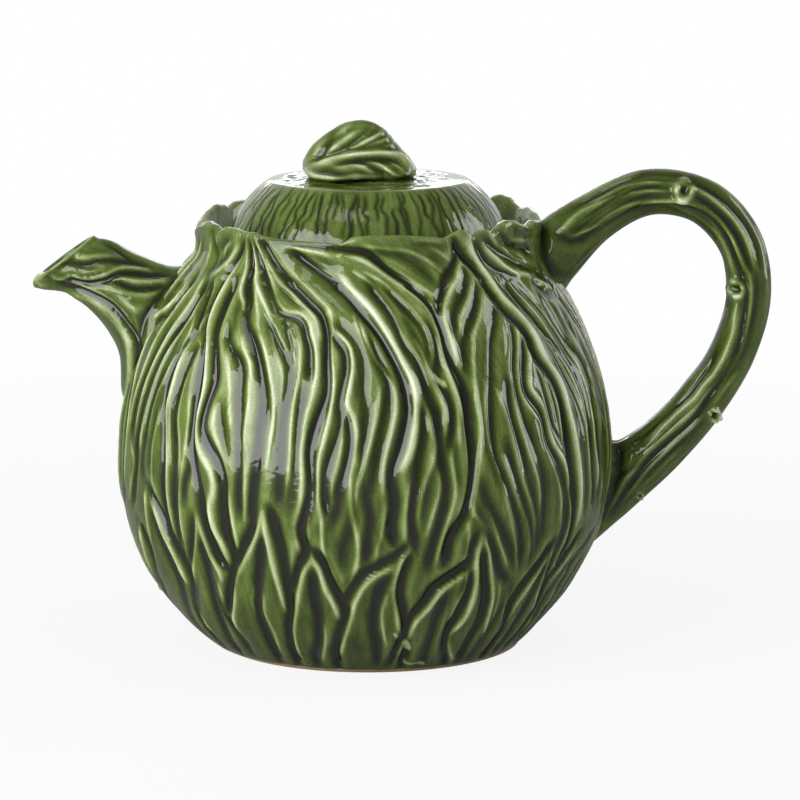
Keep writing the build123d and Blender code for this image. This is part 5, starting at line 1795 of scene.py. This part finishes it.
# %% White paper floor
FLOOR_SIZE = 6.0
floor_bm = bmesh.new()
bmesh.ops.create_grid(floor_bm, x_segments=1, y_segments=1, size=FLOOR_SIZE / 2)
floor_mesh = bpy.data.meshes.new("floor")
floor_bm.to_mesh(floor_mesh)
floor_bm.free()
floor = bpy.data.objects.new("floor", floor_mesh)
bpy.context.scene.collection.objects.link(floor)
floor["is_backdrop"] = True
print("floor", FLOOR_SIZE, "m wide")

# %% Matt paper
# Uncoated paper has no gloss, so the eye finds nothing in it but the pot's shadow.
PAPER_GLOW, PAPER_GLOW_FAR = 0.88, 1.0
SHADOW_REACH, WHITE_REACH = 0.2, 0.7
# In the glaze the floor reads darker than to the eye, as under a pot that shades its own floor.
PAPER, PAPER_IN_GLAZE = "#E2E2E2", "#989898"
SEEN_IN_GLAZE = 0.08

paper = bpy.data.materials.new("matt_white_paper")
paper.use_nodes = True
tree = paper.node_tree
paper_shader = tree.nodes["Principled BSDF"]
paper_shader.inputs["Roughness"].default_value = 1.0
paper_shader.inputs["Specular IOR Level"].default_value = 0.0
glow = add_node(tree, "ShaderNodeEmission", {"Color": (1, 1, 1, 1), "Strength": 1.0})
rays = add_node(tree, "ShaderNodeLightPath")
shade = add_node(
    tree, "ShaderNodeMix", {"data_type": "RGBA", 6: linear(PAPER), 7: linear(PAPER_IN_GLAZE)},
    {0: rays.outputs["Is Glossy Ray"]},
)
tree.links.new(shade.outputs[2], paper_shader.inputs["Base Color"])
seen = add_node(
    tree, "ShaderNodeMath", {"operation": "MULTIPLY_ADD", 1: SEEN_IN_GLAZE},
    {0: rays.outputs["Is Glossy Ray"], 2: rays.outputs["Is Camera Ray"]},
)
position = add_node(tree, "ShaderNodeTexCoord").outputs["Object"]
far = add_node(tree, "ShaderNodeVectorMath", {"operation": "LENGTH"}, {0: position})
white = add_node(
    tree, "ShaderNodeMapRange",
    {"From Min": SHADOW_REACH, "From Max": WHITE_REACH,
     "To Min": PAPER_GLOW, "To Max": PAPER_GLOW_FAR},
    {"Value": far.outputs["Value"]},
)
glow_share = add_node(
    tree, "ShaderNodeMath", {"operation": "MULTIPLY"},
    {0: seen.outputs[0], 1: white.outputs["Result"]},
)
blend = add_node(
    tree, "ShaderNodeMixShader",
    links={0: glow_share.outputs[0], 1: paper_shader.outputs[0], 2: glow.outputs[0]},
)
tree.links.new(blend.outputs[0], tree.nodes["Material Output"].inputs["Surface"])
floor_mesh.materials.append(paper)
print(paper.name, "has", len(tree.nodes), "nodes")

# %% White sweep and dim room
WORLD_LIGHT = 0.4
DARK_ROOM = 0.16
# How far back a mirrored ray has to point before the room turns white.
DIM_UNTIL, WHITE_FROM = 0.45, 0.85

world = bpy.data.worlds.new("white_sweep_and_dim_room")
bpy.context.scene.world = world
world.use_nodes = True
tree = world.node_tree
rays = add_node(tree, "ShaderNodeLightPath")
direction = add_node(tree, "ShaderNodeTexCoord").outputs["Generated"]
backward = add_node(tree, "ShaderNodeSeparateXYZ", links={0: direction}).outputs["Y"]
mirrored = add_node(
    tree, "ShaderNodeMapRange",
    {"From Min": DIM_UNTIL, "From Max": WHITE_FROM, "To Min": DARK_ROOM, "To Max": 1.0},
    {"Value": backward},
).outputs["Result"]
strength = add_node(
    tree, "ShaderNodeMix", {2: WORLD_LIGHT}, {0: rays.outputs["Is Glossy Ray"], 3: mirrored}
).outputs[0]
for kind in ("Is Camera Ray", "Is Transmission Ray"):
    strength = add_node(
        tree, "ShaderNodeMix", {3: 1.0}, {0: rays.outputs[kind], 2: strength}
    ).outputs[0]
backdrop = tree.nodes["Background"]
backdrop.inputs["Color"].default_value = (1, 1, 1, 1)
tree.links.new(strength, backdrop.inputs["Strength"])
print("the room's light:", WORLD_LIGHT, "and in the glaze, at its dimmest:", DARK_ROOM)

# %% [markdown]
# ## Closing measurements
# The shaped model has to keep to the construction model's box, so that it fits wherever that
# does. Its box is printed here, and the construction model's near the start, so that the two can
# be compared.

# %% Print the shaped model's box and finish
visual_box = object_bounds()
visual_size = (visual_box[1] - visual_box[0]) / MILLIMETRE
print("visual model:", [round(side, 1) for side in visual_size], "mm")
